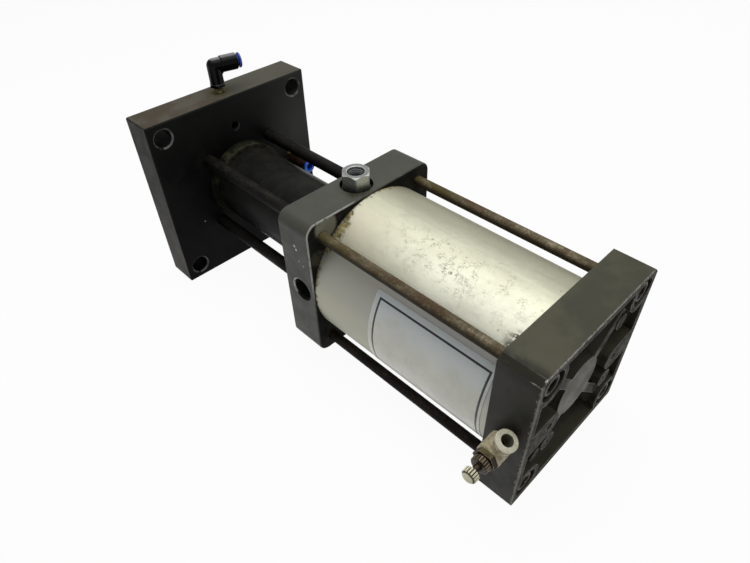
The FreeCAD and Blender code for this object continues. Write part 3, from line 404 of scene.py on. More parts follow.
def flange_rim(tree, y, z, nx, ny):
    """Mask and colour of the plate's four narrow sides."""
    outer = either(tree, absolute(tree, y), absolute(tree, z))
    outer = fade(tree, outer, FLANGE_HALF - 0.005, FLANGE_HALF - 0.0015)
    rim = times(tree, fade(tree, absolute(tree, nx), 0.6, 0.3), outer)
    rubbed = tint(tree, patches(tree, 45.0, 0.4, 0.62), rgb(0.076, 0.062, 0.043), rgb(0.103, 0.094, 0.074))
    side = tint(tree, patches(tree, 60.0, 0.4, 0.65), rgb(0.024, 0.023, 0.021), rgb(0.046, 0.044, 0.041))
    side = tint(tree, fade(tree, z, 0.03, -0.07), side, rgb(0.068, 0.064, 0.058))
    rubbed = tint(tree, times(tree, fade(tree, y, 0.02, -0.02), 0.75), rubbed, rgb(0.1, 0.099, 0.077))
    return rim, tint(tree, fade(tree, ny, 0.4, 0.7), rubbed, side)


def flange_holes(tree, x, y, z):
    """Masks of the bolt holes' chamfers, the spare hole's lip with a painted highlight on its lower right,
    and a bright knock.
    """
    corner = beside(tree, (absolute(tree, y), absolute(tree, z)), (MOUNT_AT, MOUNT_AT))
    reach = MOUNT_RADIUS + MOUNT_CHAMFER
    ring = times(tree, fade(tree, corner, reach + 0.0002, reach),
                 fade(tree, x, FLANGE_BACK + MOUNT_CHAMFER, FLANGE_BACK + MOUNT_CHAMFER - 0.0002))
    ring = times(tree, ring, patches(tree, 120.0, 0.35, 0.55))
    lip = between(tree, beside(tree, (y, z), (0.0, SPARE_HEIGHT)), SPARE_RADIUS, SPARE_RADIUS + 0.001, 0.0004)
    # the lip's painted highlight, only on its lower right
    spare = times(tree, lip, fade(tree, plus(tree, y, z), SPARE_HEIGHT - 0.002, SPARE_HEIGHT - 0.005))
    rear = fade(tree, x, FLANGE_BACK + 0.002, FLANGE_BACK + 0.001)
    knock = times(tree, rear, spot(tree, (y, z), FLANGE_KNOCK, 0.0009))
    return ring, times(tree, spare, rear), knock


def tube_black():
    """Satin black honed tube, dusty, with olive grime behind the collar and painted shade on its underside.
    """
    made, tree, shader = material("tube_black")
    x, _, z = axes(tree)
    dust = patches(tree, 40.0, 0.5, 0.75)
    colour = tint(tree, patches(tree, 90.0), rgb(0.01, 0.01, 0.0092), rgb(0.0145, 0.0145, 0.013))
    grime = times(tree, fade(tree, x, -0.095, -0.055), patches(tree, 55.0, 0.42, 0.62))
    grime = times(tree, grime, fade(tree, z, 0.0, 0.03))
    colour = tint(tree, times(tree, either(tree, dust, grime), 0.45), colour, rgb(0.03, 0.028, 0.017))
    # painted shade: near-black towards the bottom
    colour = tint(tree, times(tree, fade(tree, z, 0.02, -0.012), 0.85), colour, rgb(0.0025, 0.0027, 0.0026))
    rough = level(tree, dust, 0.36, 0.52)
    surface(tree, shader, colour, rough, 0.0, grit(tree, 500.0, 0.00004), 0.08)
    return made


def block_grey():
    """Dark grey-olive paint on the middle block: painted shade on its left face, near-black painted shade on
    its rear face, bare rear edge, near-black ports with painted shade and a painted highlight on the side
    port's rim.
    """
    made, tree, shader = material("block_grey")
    x, y, z = axes(tree)
    nx, _, nz = facing(tree)
    colour = tint(tree, patches(tree, 25.0, 0.35, 0.7), rgb(0.074, 0.076, 0.06), rgb(0.088, 0.09, 0.072))
    side = fade(tree, y, BLOCK_SIDE - 0.002, BLOCK_SIDE - 0.0005)
    shaded = times(tree, side, fade(tree, z, 0.02, -0.05, 0.48, 0.68))
    colour = tint(tree, shaded, colour, rgb(0.046, 0.047, 0.041))
    # near-black painted shade over the rear face, in cloudy patches
    rear_shade = tint(tree, patches(tree, 90.0, 0.4, 0.62), rgb(0.0025, 0.0025, 0.002), rgb(0.013, 0.012, 0.008))
    back = fade(tree, nx, -0.8, -0.95)
    colour = tint(tree, times(tree, back, 0.97), colour, rear_shade)
    rubbed = fade(tree, beside(tree, (y, z), BLOCK_RUBBED), 0.0125, 0.009)
    rubbed = times(tree, rubbed, patches(tree, 120.0, 0.3, 0.45))
    colour = tint(tree, times(tree, back, rubbed), colour, rgb(0.27, 0.27, 0.21))
    streak = times(tree, spot(tree, (y, z), BLOCK_STREAK, 0.009), patches(tree, 160.0, 0.4, 0.55))
    colour = tint(tree, times(tree, back, streak), colour, rgb(0.06, 0.056, 0.036))
    stain = times(tree, back, spot(tree, (y, z), BLOCK_STAIN, 0.004))
    colour = tint(tree, stain, colour, rgb(0.025, 0.015, 0.016))
    oiled = times(tree, fade(tree, nz, 0.8, 0.95), spot(tree, (x, y), OIL_SPILL, 0.012))
    oiled = times(tree, oiled, patches(tree, 170.0, 0.34, 0.56))
    colour = tint(tree, times(tree, oiled, 0.75), colour, rgb(0.04, 0.04, 0.02))
    bare = either(tree, block_wear(tree, x, y, z, nx, side), worn_edges(tree, 0.0009, 130.0, 0.32))
    colour = tint(tree, bare, colour, rgb(0.7, 0.69, 0.64))
    dark, lit = block_ports(tree, x, y, z)
    # near-black painted shade in the side port's bore and the oil recess
    colour = tint(tree, dark, colour, rgb(0.003, 0.003, 0.0024))
    # painted highlight on the side port's rim
    colour = tint(tree, lit, colour, rgb(0.6, 0.6, 0.57))
    rough = level(tree, patches(tree, 80.0, 0.3, 0.7), 0.36, 0.5)
    rough = plus(tree, rough, times(tree, either(tree, dark, back), 0.45))
    surface(tree, shader, colour, rough, times(tree, bare, 0.5), grit(tree, 1200.0, 0.00004), 0.2)
    return made


def block_wear(tree, x, y, z, nx, side):
    """Bare metal along the rear edge round the upper left corner, and knocks on the left face."""
    brink = times(tree, fade(tree, x, BLOCK_BACK + 0.0014, BLOCK_BACK + 0.0008), fade(tree, nx, -0.8, -0.6))
    brink = times(tree, brink, times(tree, fade(tree, y, 0.01, 0.03), fade(tree, z, -0.015, 0.02)))
    brink = times(tree, brink, patches(tree, 300.0, 0.3, 0.46))
    knocks = 0.0
    for ahead, height, radius in BLOCK_KNOCKS:
        knocks = either(tree, knocks, spot(tree, (x, z), (ahead, height), radius))
    knocks = times(tree, times(tree, knocks, side), patches(tree, 700.0, 0.35, 0.5))
    return either(tree, brink, knocks)


def block_ports(tree, x, y, z):
    """Masks of the block's hollows, near-black as painted shade, and of the side port's rim, bright on its
    upper front side as a painted highlight.
    """
    port = beside(tree, (x, z), (SIDE_PORT_X, SIDE_PORT_HEIGHT))
    rim = SIDE_PORT_RADIUS + SIDE_PORT_CHAMFER
    inside = BLOCK_SIDE - 0.0004
    bore_shade = times(tree, fade(tree, port, rim, rim - 0.0003), between(tree, y, 0.0, inside, 0.0003))
    well = beside(tree, (x, y), (BLOCK_MIDDLE, 0.0))
    recess = times(tree, fade(tree, well, OIL_RECESS + 0.0004, OIL_RECESS + 0.0001),
                   between(tree, z, 0.0, inside, 0.0003))
    ahead = minus(tree, x, SIDE_PORT_X)
    above = minus(tree, z, SIDE_PORT_HEIGHT)
    toward = plus(tree, ahead, times(tree, above, 0.5))
    lit = times(tree, between(tree, port, SIDE_PORT_RADIUS + 0.0001, rim + 0.0002, 0.0002),
                fade(tree, toward, 0.002, 0.007))
    lit = times(tree, lit, fade(tree, y, BLOCK_SIDE - 0.0012, BLOCK_SIDE - 0.0009))
    lit = times(tree, lit, patches(tree, 260.0, 0.3, 0.5))
    return either(tree, bore_shade, recess), lit


def cap_grey():
    """Cast and painted rear cap: smooth sides with painted shade on the left one, rubbed disc, rough pockets
    painted lighter as painted fill light against their shade, speckled rear edges.
    """
    made, tree, shader = material("cap_grey")
    x, y, z = axes(tree)
    nx, ny, _ = facing(tree)
    colour = tint(tree, patches(tree, 22.0, 0.4, 0.62), rgb(0.066, 0.066, 0.045), rgb(0.094, 0.09, 0.06))
    colour = tint(tree, times(tree, specks(tree, 120.0, 0.14, 0.04), 0.5), colour, rgb(0.16, 0.16, 0.13))
    shade = tint(tree, patches(tree, 35.0), rgb(0.015, 0.0145, 0.011), rgb(0.031, 0.027, 0.023))
    colour = tint(tree, times(tree, fade(tree, ny, 0.75, 0.95), 0.85), colour, shade)
    smear = times(tree, fade(tree, plus(tree, y, z), 0.127, 0.134), patches(tree, 70.0, 0.25, 0.5))
    colour = tint(tree, times(tree, smear, 0.8), colour, rgb(0.018, 0.0175, 0.013))
    back = fade(tree, nx, -0.6, -0.9)
    raised = times(tree, back, fade(tree, x, CAP_BACK + 0.0065, CAP_BACK + 0.005))
    dull = tint(tree, patches(tree, 210.0, 0.42, 0.6), rgb(0.029, 0.027, 0.021), rgb(0.1, 0.095, 0.077))
    colour = tint(tree, raised, colour, dull)
    disc = times(tree, raised, fade(tree, distance(tree, y, z), CAP_DISC + 0.010, CAP_DISC))
    rubbed = tint(tree, patches(tree, 90.0, 0.4, 0.65), rgb(0.067, 0.063, 0.04), rgb(0.093, 0.088, 0.058))
    colour = tint(tree, disc, colour, rubbed)
    inside = fade(tree, either(tree, absolute(tree, y), absolute(tree, z)),
                  CAP_RIM_INSIDE + 0.0005, CAP_RIM_INSIDE - 0.0005)
    pocket_fill_light = times(tree, inside, fade(tree, x, CAP_BACK + 0.004, CAP_BACK + 0.009))
    pocket_fill_light = times(tree, pocket_fill_light, fade(tree, x, CAP_FRONT - 0.005, CAP_FRONT - 0.010))
    # painted fill light: the pockets lighter to offset their shade
    colour = tint(tree, times(tree, pocket_fill_light, 0.88), colour, rgb(0.105, 0.1, 0.08))
    bare = cap_wear(tree, x, y, z, raised)
    colour = tint(tree, bare, colour, rgb(0.36, 0.35, 0.32))
    colour = tint(tree, cap_knock(tree, x, y, z), colour, rgb(0.8, 0.79, 0.75))
    rough = level(tree, patches(tree, 70.0, 0.3, 0.7), 0.4, 0.56)
    rough = plus(tree, rough, times(tree, minus(tree, raised, disc), 0.3))
    surface(tree, shader, colour, rough, times(tree, bare, 0.4), grit(tree, 650.0, 0.0001), 0.15)
    return made


def cap_wear(tree, x, y, z, raised):
    """Paint rubbed thin on the rear edges, most on the left one, and specks on the raised back."""
    rear = fade(tree, x, CAP_BACK + 0.012, CAP_BACK + 0.003)
    edges = times(tree, worn_edges(tree, 0.0014, 330.0, 0.55), level(tree, rear, 0.1, 0.8))
    outer = fade(tree, either(tree, y, z), CAP_HALF - 0.003, CAP_HALF - 0.0012)
    brink = times(tree, outer, fade(tree, x, CAP_BACK + 0.0012, CAP_BACK + 0.0004))
    brink = times(tree, brink, times(tree, patches(tree, 420.0, 0.38, 0.6), 0.55))
    cloud = grain(tree, coords(tree), 190.0, 6.0, 0.75)
    ragged = minus(tree, x, times(tree, minus(tree, cloud, 0.5), 0.012))
    left = times(tree, fade(tree, y, CAP_HALF - 0.0035, CAP_HALF - 0.0012),
                 fade(tree, ragged, CAP_BACK + 0.0014, CAP_BACK + 0.0004))
    left = times(tree, left, times(tree, patches(tree, 600.0, 0.4, 0.56), 0.5))
    specked = times(tree, raised, times(tree, specks(tree, 560.0, 0.32, 0.12), 0.4))
    return either(tree, either(tree, edges, brink), either(tree, left, specked))


def cap_knock(tree, x, y, z):
    """The corner of the upper left bevel, knocked bright, and a scratch along its lower edge."""
    place = spot(tree, (x, y), CAP_KNOCK, 0.0009)
    place = times(tree, place, fade(tree, z, 0.066, 0.068))
    scratch = times(tree, between(tree, x, CAP_BACK + 0.001, CAP_BACK + 0.0075, 0.001),
                    between(tree, z, 0.0655, 0.0657, 0.0002))
    scratch = times(tree, scratch, fade(tree, y, 0.0688, 0.0694, 0.0, 0.4))
    return times(tree, either(tree, place, scratch), patches(tree, 500.0, 0.36, 0.56))


def tube_champagne():
    """Satin aluminium tube with pits, dirt and old grease at its front end, and painted highlights,
    reflections and shade along it.
    """
    made, tree, shader = material("tube_champagne")
    x, y, z = axes(tree)
    mottled = patches(tree, 260.0, 0.35, 0.68)
    colour = tint(tree, mottled, rgb(0.655, 0.655, 0.515), rgb(0.71, 0.71, 0.56))
    colour = tint(tree, times(tree, patches(tree, 16.0, 0.45, 0.75), 0.35), colour, rgb(0.62, 0.6, 0.46))
    clouds = patches(tree, 26.0, 0.46, 0.66, (0.3, 1.4, 1.4))
    colour = tint(tree, times(tree, clouds, 0.42), colour, rgb(0.46, 0.44, 0.33))
    # painted highlights, reflections and shade along the tube
    colour = tube_painted_light(tree, x, y, z, colour)
    blotches = times(tree, patches(tree, 70.0, 0.46, 0.62, (0.5, 1.0, 1.0)), fade(tree, z, 0.03, 0.055))
    colour = tint(tree, times(tree, blotches, 0.24), colour, rgb(0.5, 0.47, 0.37))
    pits, crazing = tube_pits(tree, x, y, z)
    colour = tint(tree, times(tree, crazing, 0.2), colour, rgb(0.32, 0.28, 0.17))
    colour = tint(tree, times(tree, pits, 0.68), colour, rgb(0.16, 0.14, 0.09))
    soiled, old = tube_dirt(tree, x, y, z)
    colour = tint(tree, times(tree, soiled, 0.92), colour, old)
    rough = level(tree, mottled, 0.53, 0.57)
    rough = plus(tree, rough, times(tree, soiled, 0.2))
    metal = level(tree, either(tree, soiled, pits), 0.74, 0.1)
    sunk = either(tree, pits, crazing)
    relief = node(tree, "ShaderNodeBump", {"Strength": 1.0, "Distance": 0.00009, "Height": sunk,
                                           "Normal": grit(tree, 420.0, 0.00004)}, invert=True)
    surface(tree, shader, colour, rough, metal, relief.outputs["Normal"], 0.3)
    return made


def tube_painted_light(tree, x, y, z, colour):
    """Painted light on the tube: a painted highlight along the upper left, painted reflections grey lower
    down and warm on the upper front, and darker, yellower painted shade on the right side and at the front.
    """
    near_highlight = times(tree, fade(tree, y, 0.012, 0.036), fade(tree, x, -0.26, -0.33, 0.25, 1.0))
    colour = tint(tree, times(tree, near_highlight, 0.6), colour, rgb(0.87, 0.87, 0.75))
    # painted reflection: neutral grey lower down, lighter grey in a band
    dull = fade(tree, z, 0.053, 0.038)
    dull = times(tree, dull, fade(tree, z, -0.03, 0.02, 0.56, 0.62))
    colour = tint(tree, dull, colour, rgb(0.212, 0.21, 0.206))
    cool_reflection = between(tree, z, 0.018, 0.043, 0.009)
    colour = tint(tree, times(tree, cool_reflection, 0.6), colour, rgb(0.36, 0.352, 0.35))
    # painted shade: darker and yellower on the right side and at the front, and a warm painted reflection on
    # the upper front
    colour = tint(tree, times(tree, fade(tree, y, 0.012, -0.038), 0.62), colour, rgb(0.32, 0.31, 0.215))
    colour = tint(tree, times(tree, fade(tree, x, -0.34, -0.25), 0.3), colour, rgb(0.5, 0.49, 0.36))
    warm_reflection = times(tree, fade(tree, x, -0.31, -0.245), fade(tree, y, 0.01, 0.03))
    warm_reflection = times(tree, warm_reflection, fade(tree, z, 0.044, 0.054))
    colour = tint(tree, times(tree, warm_reflection, 0.45), colour, rgb(0.58, 0.53, 0.41))
    return colour


def tube_pits(tree, x, y, z):
    """Masks of corrosion pits, clustered on top, and of the fine crazing round them."""
    top = fade(tree, z, 0.03, 0.058)
    cluster = fade(tree, beside(tree, (times(tree, x, PITS_ALONG), y), PITS_MIDDLE), 0.025, 0.009)
    rear = times(tree, fade(tree, x, CAP_FRONT + 0.045, CAP_FRONT + 0.005), 0.7)
    many = times(tree, either(tree, cluster, rear), top)
    close = times(tree, specks(tree, 330.0, 0.36, 0.34), times(tree, many, patches(tree, 120.0, 0.42, 0.6)))
    few = times(tree, specks(tree, 150.0, 0.13, 0.06), level(tree, top, 0.3, 1.0))
    lines = between(tree, grain(tree, coords(tree), 320.0, 4.0, 0.65), 0.49, 0.51, 0.022)
    wide = beside(tree, (times(tree, x, CRAZING_ALONG), y), CRAZING_MIDDLE)
    wide = fade(tree, wide, 0.045, 0.015, 0.0, 0.7)
    crazed = times(tree, times(tree, either(tree, cluster, wide), top), patches(tree, 120.0, 0.48, 0.58))
    return either(tree, close, few), times(tree, lines, crazed)


def tube_dirt(tree, x, y, z):
    """Grease where the tube meets the block, brown stains by the cap's upper left corner."""
    cloud = grain(tree, coords(tree), 150.0, 6.0, 0.72)
    corner = beside(tree, (y, z), GREASE_CORNER)
    reach = fade(tree, corner, 0.027, 0.008, 0.0018, 0.011)
    behind = minus(tree, BLOCK_BACK, x)
    edge = plus(tree, behind, times(tree, minus(tree, cloud, 0.5), 0.024))
    grease = fade(tree, calc(tree, "DIVIDE", edge, reach), 1.0, 0.5)
    grease = times(tree, grease, fade(tree, z, -0.03, 0.0, 0.5, 1.0))
    seam = fade(tree, behind, 0.0013, 0.0006)
    rear = minus(tree, x, times(tree, cloud, 0.014))
    dirt = times(tree, fade(tree, rear, CAP_FRONT + 0.008, CAP_FRONT - 0.002),
                 fade(tree, corner, 0.0125, 0.006))
    dirt = times(tree, dirt, patches(tree, 320.0, 0.43, 0.54))
    old = tint(tree, patches(tree, 260.0, 0.42, 0.6), rgb(0.075, 0.058, 0.014), rgb(0.34, 0.28, 0.085))
    old = tint(tree, fade(tree, x, CAP_FRONT + 0.03, CAP_FRONT + 0.02), old, rgb(0.042, 0.028, 0.014))
    old = tint(tree, seam, old, rgb(0.012, 0.01, 0.005))
    return either(tree, either(tree, times(tree, grease, patches(tree, 330.0, 0.34, 0.5)), seam), dirt), old


def rod_steel(name, dark, light, metal, oil):
    """Tie-rod steel, tarnished in grains and cross bands, oily at the block, with painted shade underneath.
    """
    made, tree, shader = material(name)
    x, _, _ = axes(tree)
    _, _, nz = facing(tree)
    deep = scaled(dark, 0.3)
    ruddy = rgb(0.5 * dark[0], 0.32 * dark[1], 0.27 * dark[2])
    streaks = patches(tree, 60.0, 0.38, 0.68, (0.6, 2.0, 2.0))
    colour = tint(tree, streaks, dark, light)
    grains = either(tree, patches(tree, 520.0, 0.46, 0.6), patches(tree, 130.0, 0.48, 0.6, (5.0, 1.0, 1.0)))
    colour = tint(tree, times(tree, grains, 0.5), colour, deep)
    colour = tint(tree, times(tree, patches(tree, 75.0, 0.48, 0.58, (0.7, 1.6, 1.6)), 0.55), colour, ruddy)
    colour = tint(tree, times(tree, specks(tree, 520.0, 0.34, 0.2), 0.3), colour, light)
    oily = times(tree, between(tree, x, BLOCK_BACK - 0.03, BLOCK_BACK - 0.0005, 0.02),
                 patches(tree, 150.0, 0.36, 0.55))
    colour = tint(tree, times(tree, oily, oil), colour, rgb(0.085, 0.069, 0.02))
    # painted shade on the underside
    colour = tint(tree, times(tree, fade(tree, nz, 0.8, 0.1), 0.92), colour, scaled(dark, 0.16))
    rough = level(tree, streaks, 0.62, 0.46)
    surface(tree, shader, colour, rough, times(tree, streaks, metal), grit(tree, 800.0, 0.00016), 0.12)
    return made


def sleeve_dark():
    """Dark sleeve nuts with a rusty mouth."""
    made, tree, shader = material("sleeve_dark")
    _, y, z = axes(tree)
    centre = beside(tree, (absolute(tree, y), absolute(tree, z)), (REAR_ROD_AT, REAR_ROD_AT))
    rust = fade(tree, centre, 0.0068, 0.0056)
    colour = tint(tree, patches(tree, 140.0), rgb(0.018, 0.017, 0.013), rgb(0.055, 0.05, 0.04))
    brown = tint(tree, patches(tree, 260.0), rgb(0.012, 0.0085, 0.005), rgb(0.06, 0.042, 0.022))
    colour = tint(tree, rust, colour, brown)
    edges = worn_edges(tree, 0.0008, 260.0, 0.4)
    colour = tint(tree, edges, colour, rgb(0.22, 0.2, 0.15))
    surface(tree, shader, colour, level(tree, rust, 0.45, 0.8), times(tree, edges, 0.6),
            grit(tree, 900.0, 0.00015), 0.25)
    return made


def plain_metal(name, colour, second, rough, metal=1.0, scale=120.0):
    """Bare metal with faint tarnish and brightened edges."""
    made, tree, shader = material(name)
    mix = tint(tree, patches(tree, scale), colour, second)
    edges = worn_edges(tree, 0.0005, 200.0, 0.5)
    mix = tint(tree, times(tree, edges, 0.6), mix, scaled(colour, 1.35))
    worn = level(tree, patches(tree, 2.0 * scale, 0.3, 0.7), 0.8 * rough, 1.25 * rough)
    surface(tree, shader, mix, worn, metal, grit(tree, 900.0, 0.00005))
    return made


def adapter_zinc():
    """Bright zinc hexagon: grime low on its flats, painted highlights on the flats and chamfers that face the
    rear, painted shade on the flats that face left, near-black painted shade inside its bore.
    """
    made, tree, shader = material("adapter_zinc")
    x, y, z = axes(tree)
    nx, ny, nz = facing(tree)
    reach = beside(tree, (x, y), (BLOCK_MIDDLE, 0.0))
    colour = tint(tree, patches(tree, 110.0, 0.45, 0.75), rgb(0.46, 0.48, 0.45), rgb(0.34, 0.35, 0.3))
    colour = tint(tree, times(tree, fade(tree, nz, 0.9, 0.98), 0.5), colour, rgb(0.23, 0.25, 0.24))
    flat = fade(tree, nz, 0.3, 0.1)
    # painted highlight on the flats that face the rear
    colour = tint(tree, times(tree, flat, fade(tree, nx, 0.1, -0.5)), colour, rgb(0.66, 0.68, 0.63))
    # painted highlight on the chamfers, strongest towards the rear
    chamfer_highlight = times(tree, between(tree, nz, 0.4, 0.93, 0.04), fade(tree, nx, 0.2, -0.4, 0.3, 1.0))
    colour = tint(tree, chamfer_highlight, colour, rgb(0.94, 0.95, 0.92))
    low = times(tree, flat, fade(tree, z, OIL_PORT_TOP - 0.004, OIL_PORT_TOP - 0.012))
    colour = tint(tree, times(tree, low, 0.8), colour, rgb(0.075, 0.072, 0.045))
    # painted shade on the flats that face left
    left = times(tree, flat, fade(tree, ny, 0.1, 0.6))
    colour = tint(tree, times(tree, left, 0.6), colour, rgb(0.05, 0.055, 0.048))
    # near-black painted shade inside the bore
    well = times(tree, fade(tree, reach, OIL_PORT_RADIUS + 0.0009, OIL_PORT_RADIUS + 0.0006),
                 fade(tree, z, OIL_PORT_TOP - 0.0003, OIL_PORT_TOP - 0.0007))
    colour = tint(tree, well, colour, rgb(0.03, 0.032, 0.032))
    edges = worn_edges(tree, 0.0009, 300.0, 0.55)
    colour = tint(tree, times(tree, edges, 0.9), colour, rgb(0.92, 0.93, 0.9))
    rough = level(tree, patches(tree, 320.0, 0.3, 0.7), 0.22, 0.3)
    surface(tree, shader, colour, rough, level(tree, well, 0.5, 0.9), grit(tree, 500.0, 0.000008))
    return made


def thread_in_shade():
    """The oil port's thread: bright crests, near-black painted shade between them, and the crests darker
    deeper in the hole as painted shade.
    """
    made, tree, shader = material("thread_in_shade")
    x, y, z = axes(tree)
    reach = beside(tree, (x, y), (BLOCK_MIDDLE, 0.0))
    crest = fade(tree, reach, OIL_PORT_RADIUS - 0.0004, OIL_PORT_RADIUS - 0.00055)
    # painted shade: the crests darker deeper in the hole
    crest = times(tree, crest, fade(tree, z, OIL_PORT_TOP - 0.0075, OIL_PORT_TOP - 0.004, 0.12, 1.0))
    # near-black painted shade between the crests
    colour = tint(tree, crest, rgb(0.003, 0.0033, 0.0033), rgb(0.55, 0.57, 0.57))
    surface(tree, shader, colour, 0.24, 0.8, grit(tree, 900.0, 0.00003))
    return made


def moulded(name, colour, second, rough, depth=0.00003, gloss=0.5):
    """Moulded plastic or rubber with faint handling marks."""
    made, tree, shader = material(name)
    mix = tint(tree, patches(tree, 90.0), colour, second)
    worn = level(tree, patches(tree, 200.0, 0.3, 0.7), 0.85 * rough, 1.2 * rough)
    surface(tree, shader, mix, worn, 0.0, grit(tree, 1500.0, depth), gloss)
    return made


def fitting_black():
    """Black plastic, with a painted highlight on the faces that look up."""
    made, tree, shader = material("fitting_black")
    _, _, nz = facing(tree)
    top_highlight = times(tree, fade(tree, nz, 0.82, 0.99), patches(tree, 160.0, 0.2, 0.5))
    # painted highlight on the faces that look up
    colour = tint(tree, top_highlight, rgb(0.0016, 0.0018, 0.0018), rgb(0.26, 0.26, 0.26))
    surface(tree, shader, colour, 0.3, 0.0, grit(tree, 900.0, 0.00001), 0.12)
    return made


def cream_plastic():
    """Yellowed cream plastic, browner towards the brass hexagon."""
    made, tree, shader = material("cream_plastic")
    _, _, z = axes(tree)
    colour = tint(tree, patches(tree, 110.0), rgb(0.52, 0.455, 0.29), rgb(0.68, 0.61, 0.42))
    nearer = times(tree, fade(tree, z, 0.001, -0.004), 0.3)
    dirt = either(tree, times(tree, patches(tree, 300.0, 0.46, 0.62), 0.6), nearer)
    colour = tint(tree, dirt, colour, rgb(0.22, 0.178, 0.11))
    colour = tint(tree, specks(tree, 500.0, 0.3, 0.1), colour, rgb(0.1, 0.08, 0.04))
    rough = fade(tree, dirt, 0.0, 0.6, 0.36, 0.6)
    surface(tree, shader, colour, rough, 0.0, grit(tree, 1200.0, 0.00004), 0.3)
    return made


def cream_lip():
    """The valve's release ring: pale, with dirty spots on its lip and darker in its bore."""
    made, tree, shader = material("cream_lip")
    x, y, z = axes(tree)
    ahead = times(tree, minus(tree, x, VALVE_X), math.cos(VALVE_TURN))
    across = plus(tree, ahead, times(tree, z, math.sin(VALVE_TURN)))
    reach = beside(tree, (across, y), (0.0, VALVE_PORT_Y))
    colour = tint(tree, patches(tree, 160.0), rgb(0.84, 0.82, 0.62), rgb(0.93, 0.91, 0.73))
    colour = tint(tree, times(tree, patches(tree, 480.0, 0.46, 0.58), 0.3), colour, rgb(0.5, 0.48, 0.31))
    rim = worn_edges(tree, 0.0009, 300.0, 0.42)
    colour = tint(tree, times(tree, rim, 0.5), colour, rgb(0.25, 0.2, 0.1))
    colour = tint(tree, times(tree, specks(tree, 420.0, 0.34, 0.2), 0.7), colour, rgb(0.25, 0.21, 0.1))
    bore = fade(tree, reach, VALVE_RING_BORE + 0.0001, VALVE_RING_BORE - 0.0001)
    # darker in the bore
    colour = tint(tree, times(tree, bore, 0.85), colour, rgb(0.09, 0.08, 0.045))
    surface(tree, shader, colour, 0.4, 0.0, grit(tree, 1200.0, 0.00004), 0.3)
    return made


def ribbed_cream():
    """The knob: cream ribs with dark olive grooves."""
    made, tree, shader = material("ribbed_cream")
    x, _, z = axes(tree)
    reach = beside(tree, (x, z), (VALVE_X, 0.0))
    groove = times(tree, fade(tree, reach, KNOB_RIB_TIP, KNOB_RIB_ROOT), fade(tree, reach, 0.0038, 0.0044))
    colour = tint(tree, patches(tree, 160.0), rgb(0.8, 0.77, 0.54), rgb(0.92, 0.89, 0.67))
    colour = tint(tree, specks(tree, 600.0, 0.3, 0.15), colour, rgb(0.2, 0.18, 0.1))
    colour = tint(tree, groove, colour, rgb(0.05, 0.042, 0.018))
    surface(tree, shader, colour, 0.45, 0.0, grit(tree, 1200.0, 0.00004), 0.3)
    return made


def label_blank():
    """Pale film with a printed border line and nothing inside it, yellowed towards its lower end."""
    made, tree, shader = material("label_blank")
    x, y, z = axes(tree)
    angle = times(tree, calc(tree, "ARCTAN2", z, y), 180.0 / math.pi)
    along = either(tree, minus(tree, x, LABEL_FRONT - LABEL_MARGIN_FRONT),
                   minus(tree, LABEL_REAR + LABEL_MARGIN_REAR, x))
    degree = TUBE_RADIUS * math.pi / 180.0
    around = either(tree, times(tree, minus(tree, angle, LABEL_TOP - LABEL_MARGIN_AROUND), degree),
                    times(tree, minus(tree, LABEL_BOTTOM + LABEL_MARGIN_AROUND, angle), degree))
    outside = either(tree, along, around)
    line = between(tree, outside, -0.0012, 0.0003, 0.0002)
    film = tint(tree, patches(tree, 30.0, 0.35, 0.7), rgb(0.76, 0.75, 0.67), rgb(0.86, 0.85, 0.76))
    film = tint(tree, fade(tree, angle, 4.0, 32.0), film, rgb(0.66, 0.71, 0.71))
    aged = times(tree, patches(tree, 70.0, 0.5, 0.75), 0.35)
    film = tint(tree, aged, film, rgb(0.6, 0.56, 0.44))
    film = tint(tree, times(tree, specks(tree, 300.0, 0.25, 0.07), 0.6), film, rgb(0.35, 0.33, 0.26))
    colour = tint(tree, line, film, rgb(0.01, 0.012, 0.016))
    surface(tree, shader, colour, fade(tree, aged, 0.0, 0.4, 0.3, 0.42), 0.0, grit(tree, 300.0, 0.00003))
    return made


def brass_tarnished(name, dark, light, low, high):
    """Brass gone brown, with a painted highlight on the faces that look up, and still bright on its edges."""
    made, tree, shader = material(name)
    _, _, nz = facing(tree)
    mask = patches(tree, 260.0, low, high)
    upward_highlight = times(tree, fade(tree, nz, 0.75, 0.95), patches(tree, 200.0, 0.3, 0.5))
    # painted highlight on the faces that look up
    colour = tint(tree, either(tree, mask, upward_highlight), dark, light)
    edges = times(tree, worn_edges(tree, 0.0005, 260.0, 0.5), 0.8)
    colour = tint(tree, edges, colour, rgb(0.55, 0.46, 0.26))
    surface(tree, shader, colour, level(tree, mask, 0.5, 0.34), 0.75, grit(tree, 1100.0, 0.00005))
    return made


def knurl_brass():
    """The locknut: dark between its ribs, bright on their tips."""
    made, tree, shader = material("knurl_brass")
    x, _, z = axes(tree)
    tip = fade(tree, beside(tree, (x, z), (VALVE_X, 0.0)), KNURL_ROOT, KNURL_TIP)
    colour = tint(tree, patches(tree, 240.0), rgb(0.03, 0.02, 0.015), rgb(0.075, 0.052, 0.036))
    colour = tint(tree, times(tree, tip, patches(tree, 300.0, 0.25, 0.5)), colour, rgb(0.2, 0.165, 0.105))
    surface(tree, shader, colour, 0.42, 0.7, grit(tree, 1100.0, 0.00005))
    return made


def dress(nodes, finish):
    """Gives CAD nodes their finish."""
    for name in nodes:
        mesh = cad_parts[name].data
        mesh.materials.clear()
        mesh.materials.append(finish)


FLANGE = flange_black()
BLOCK = block_grey()
ZINC = adapter_zinc()
THREAD_IN_SHADE = thread_in_shade()
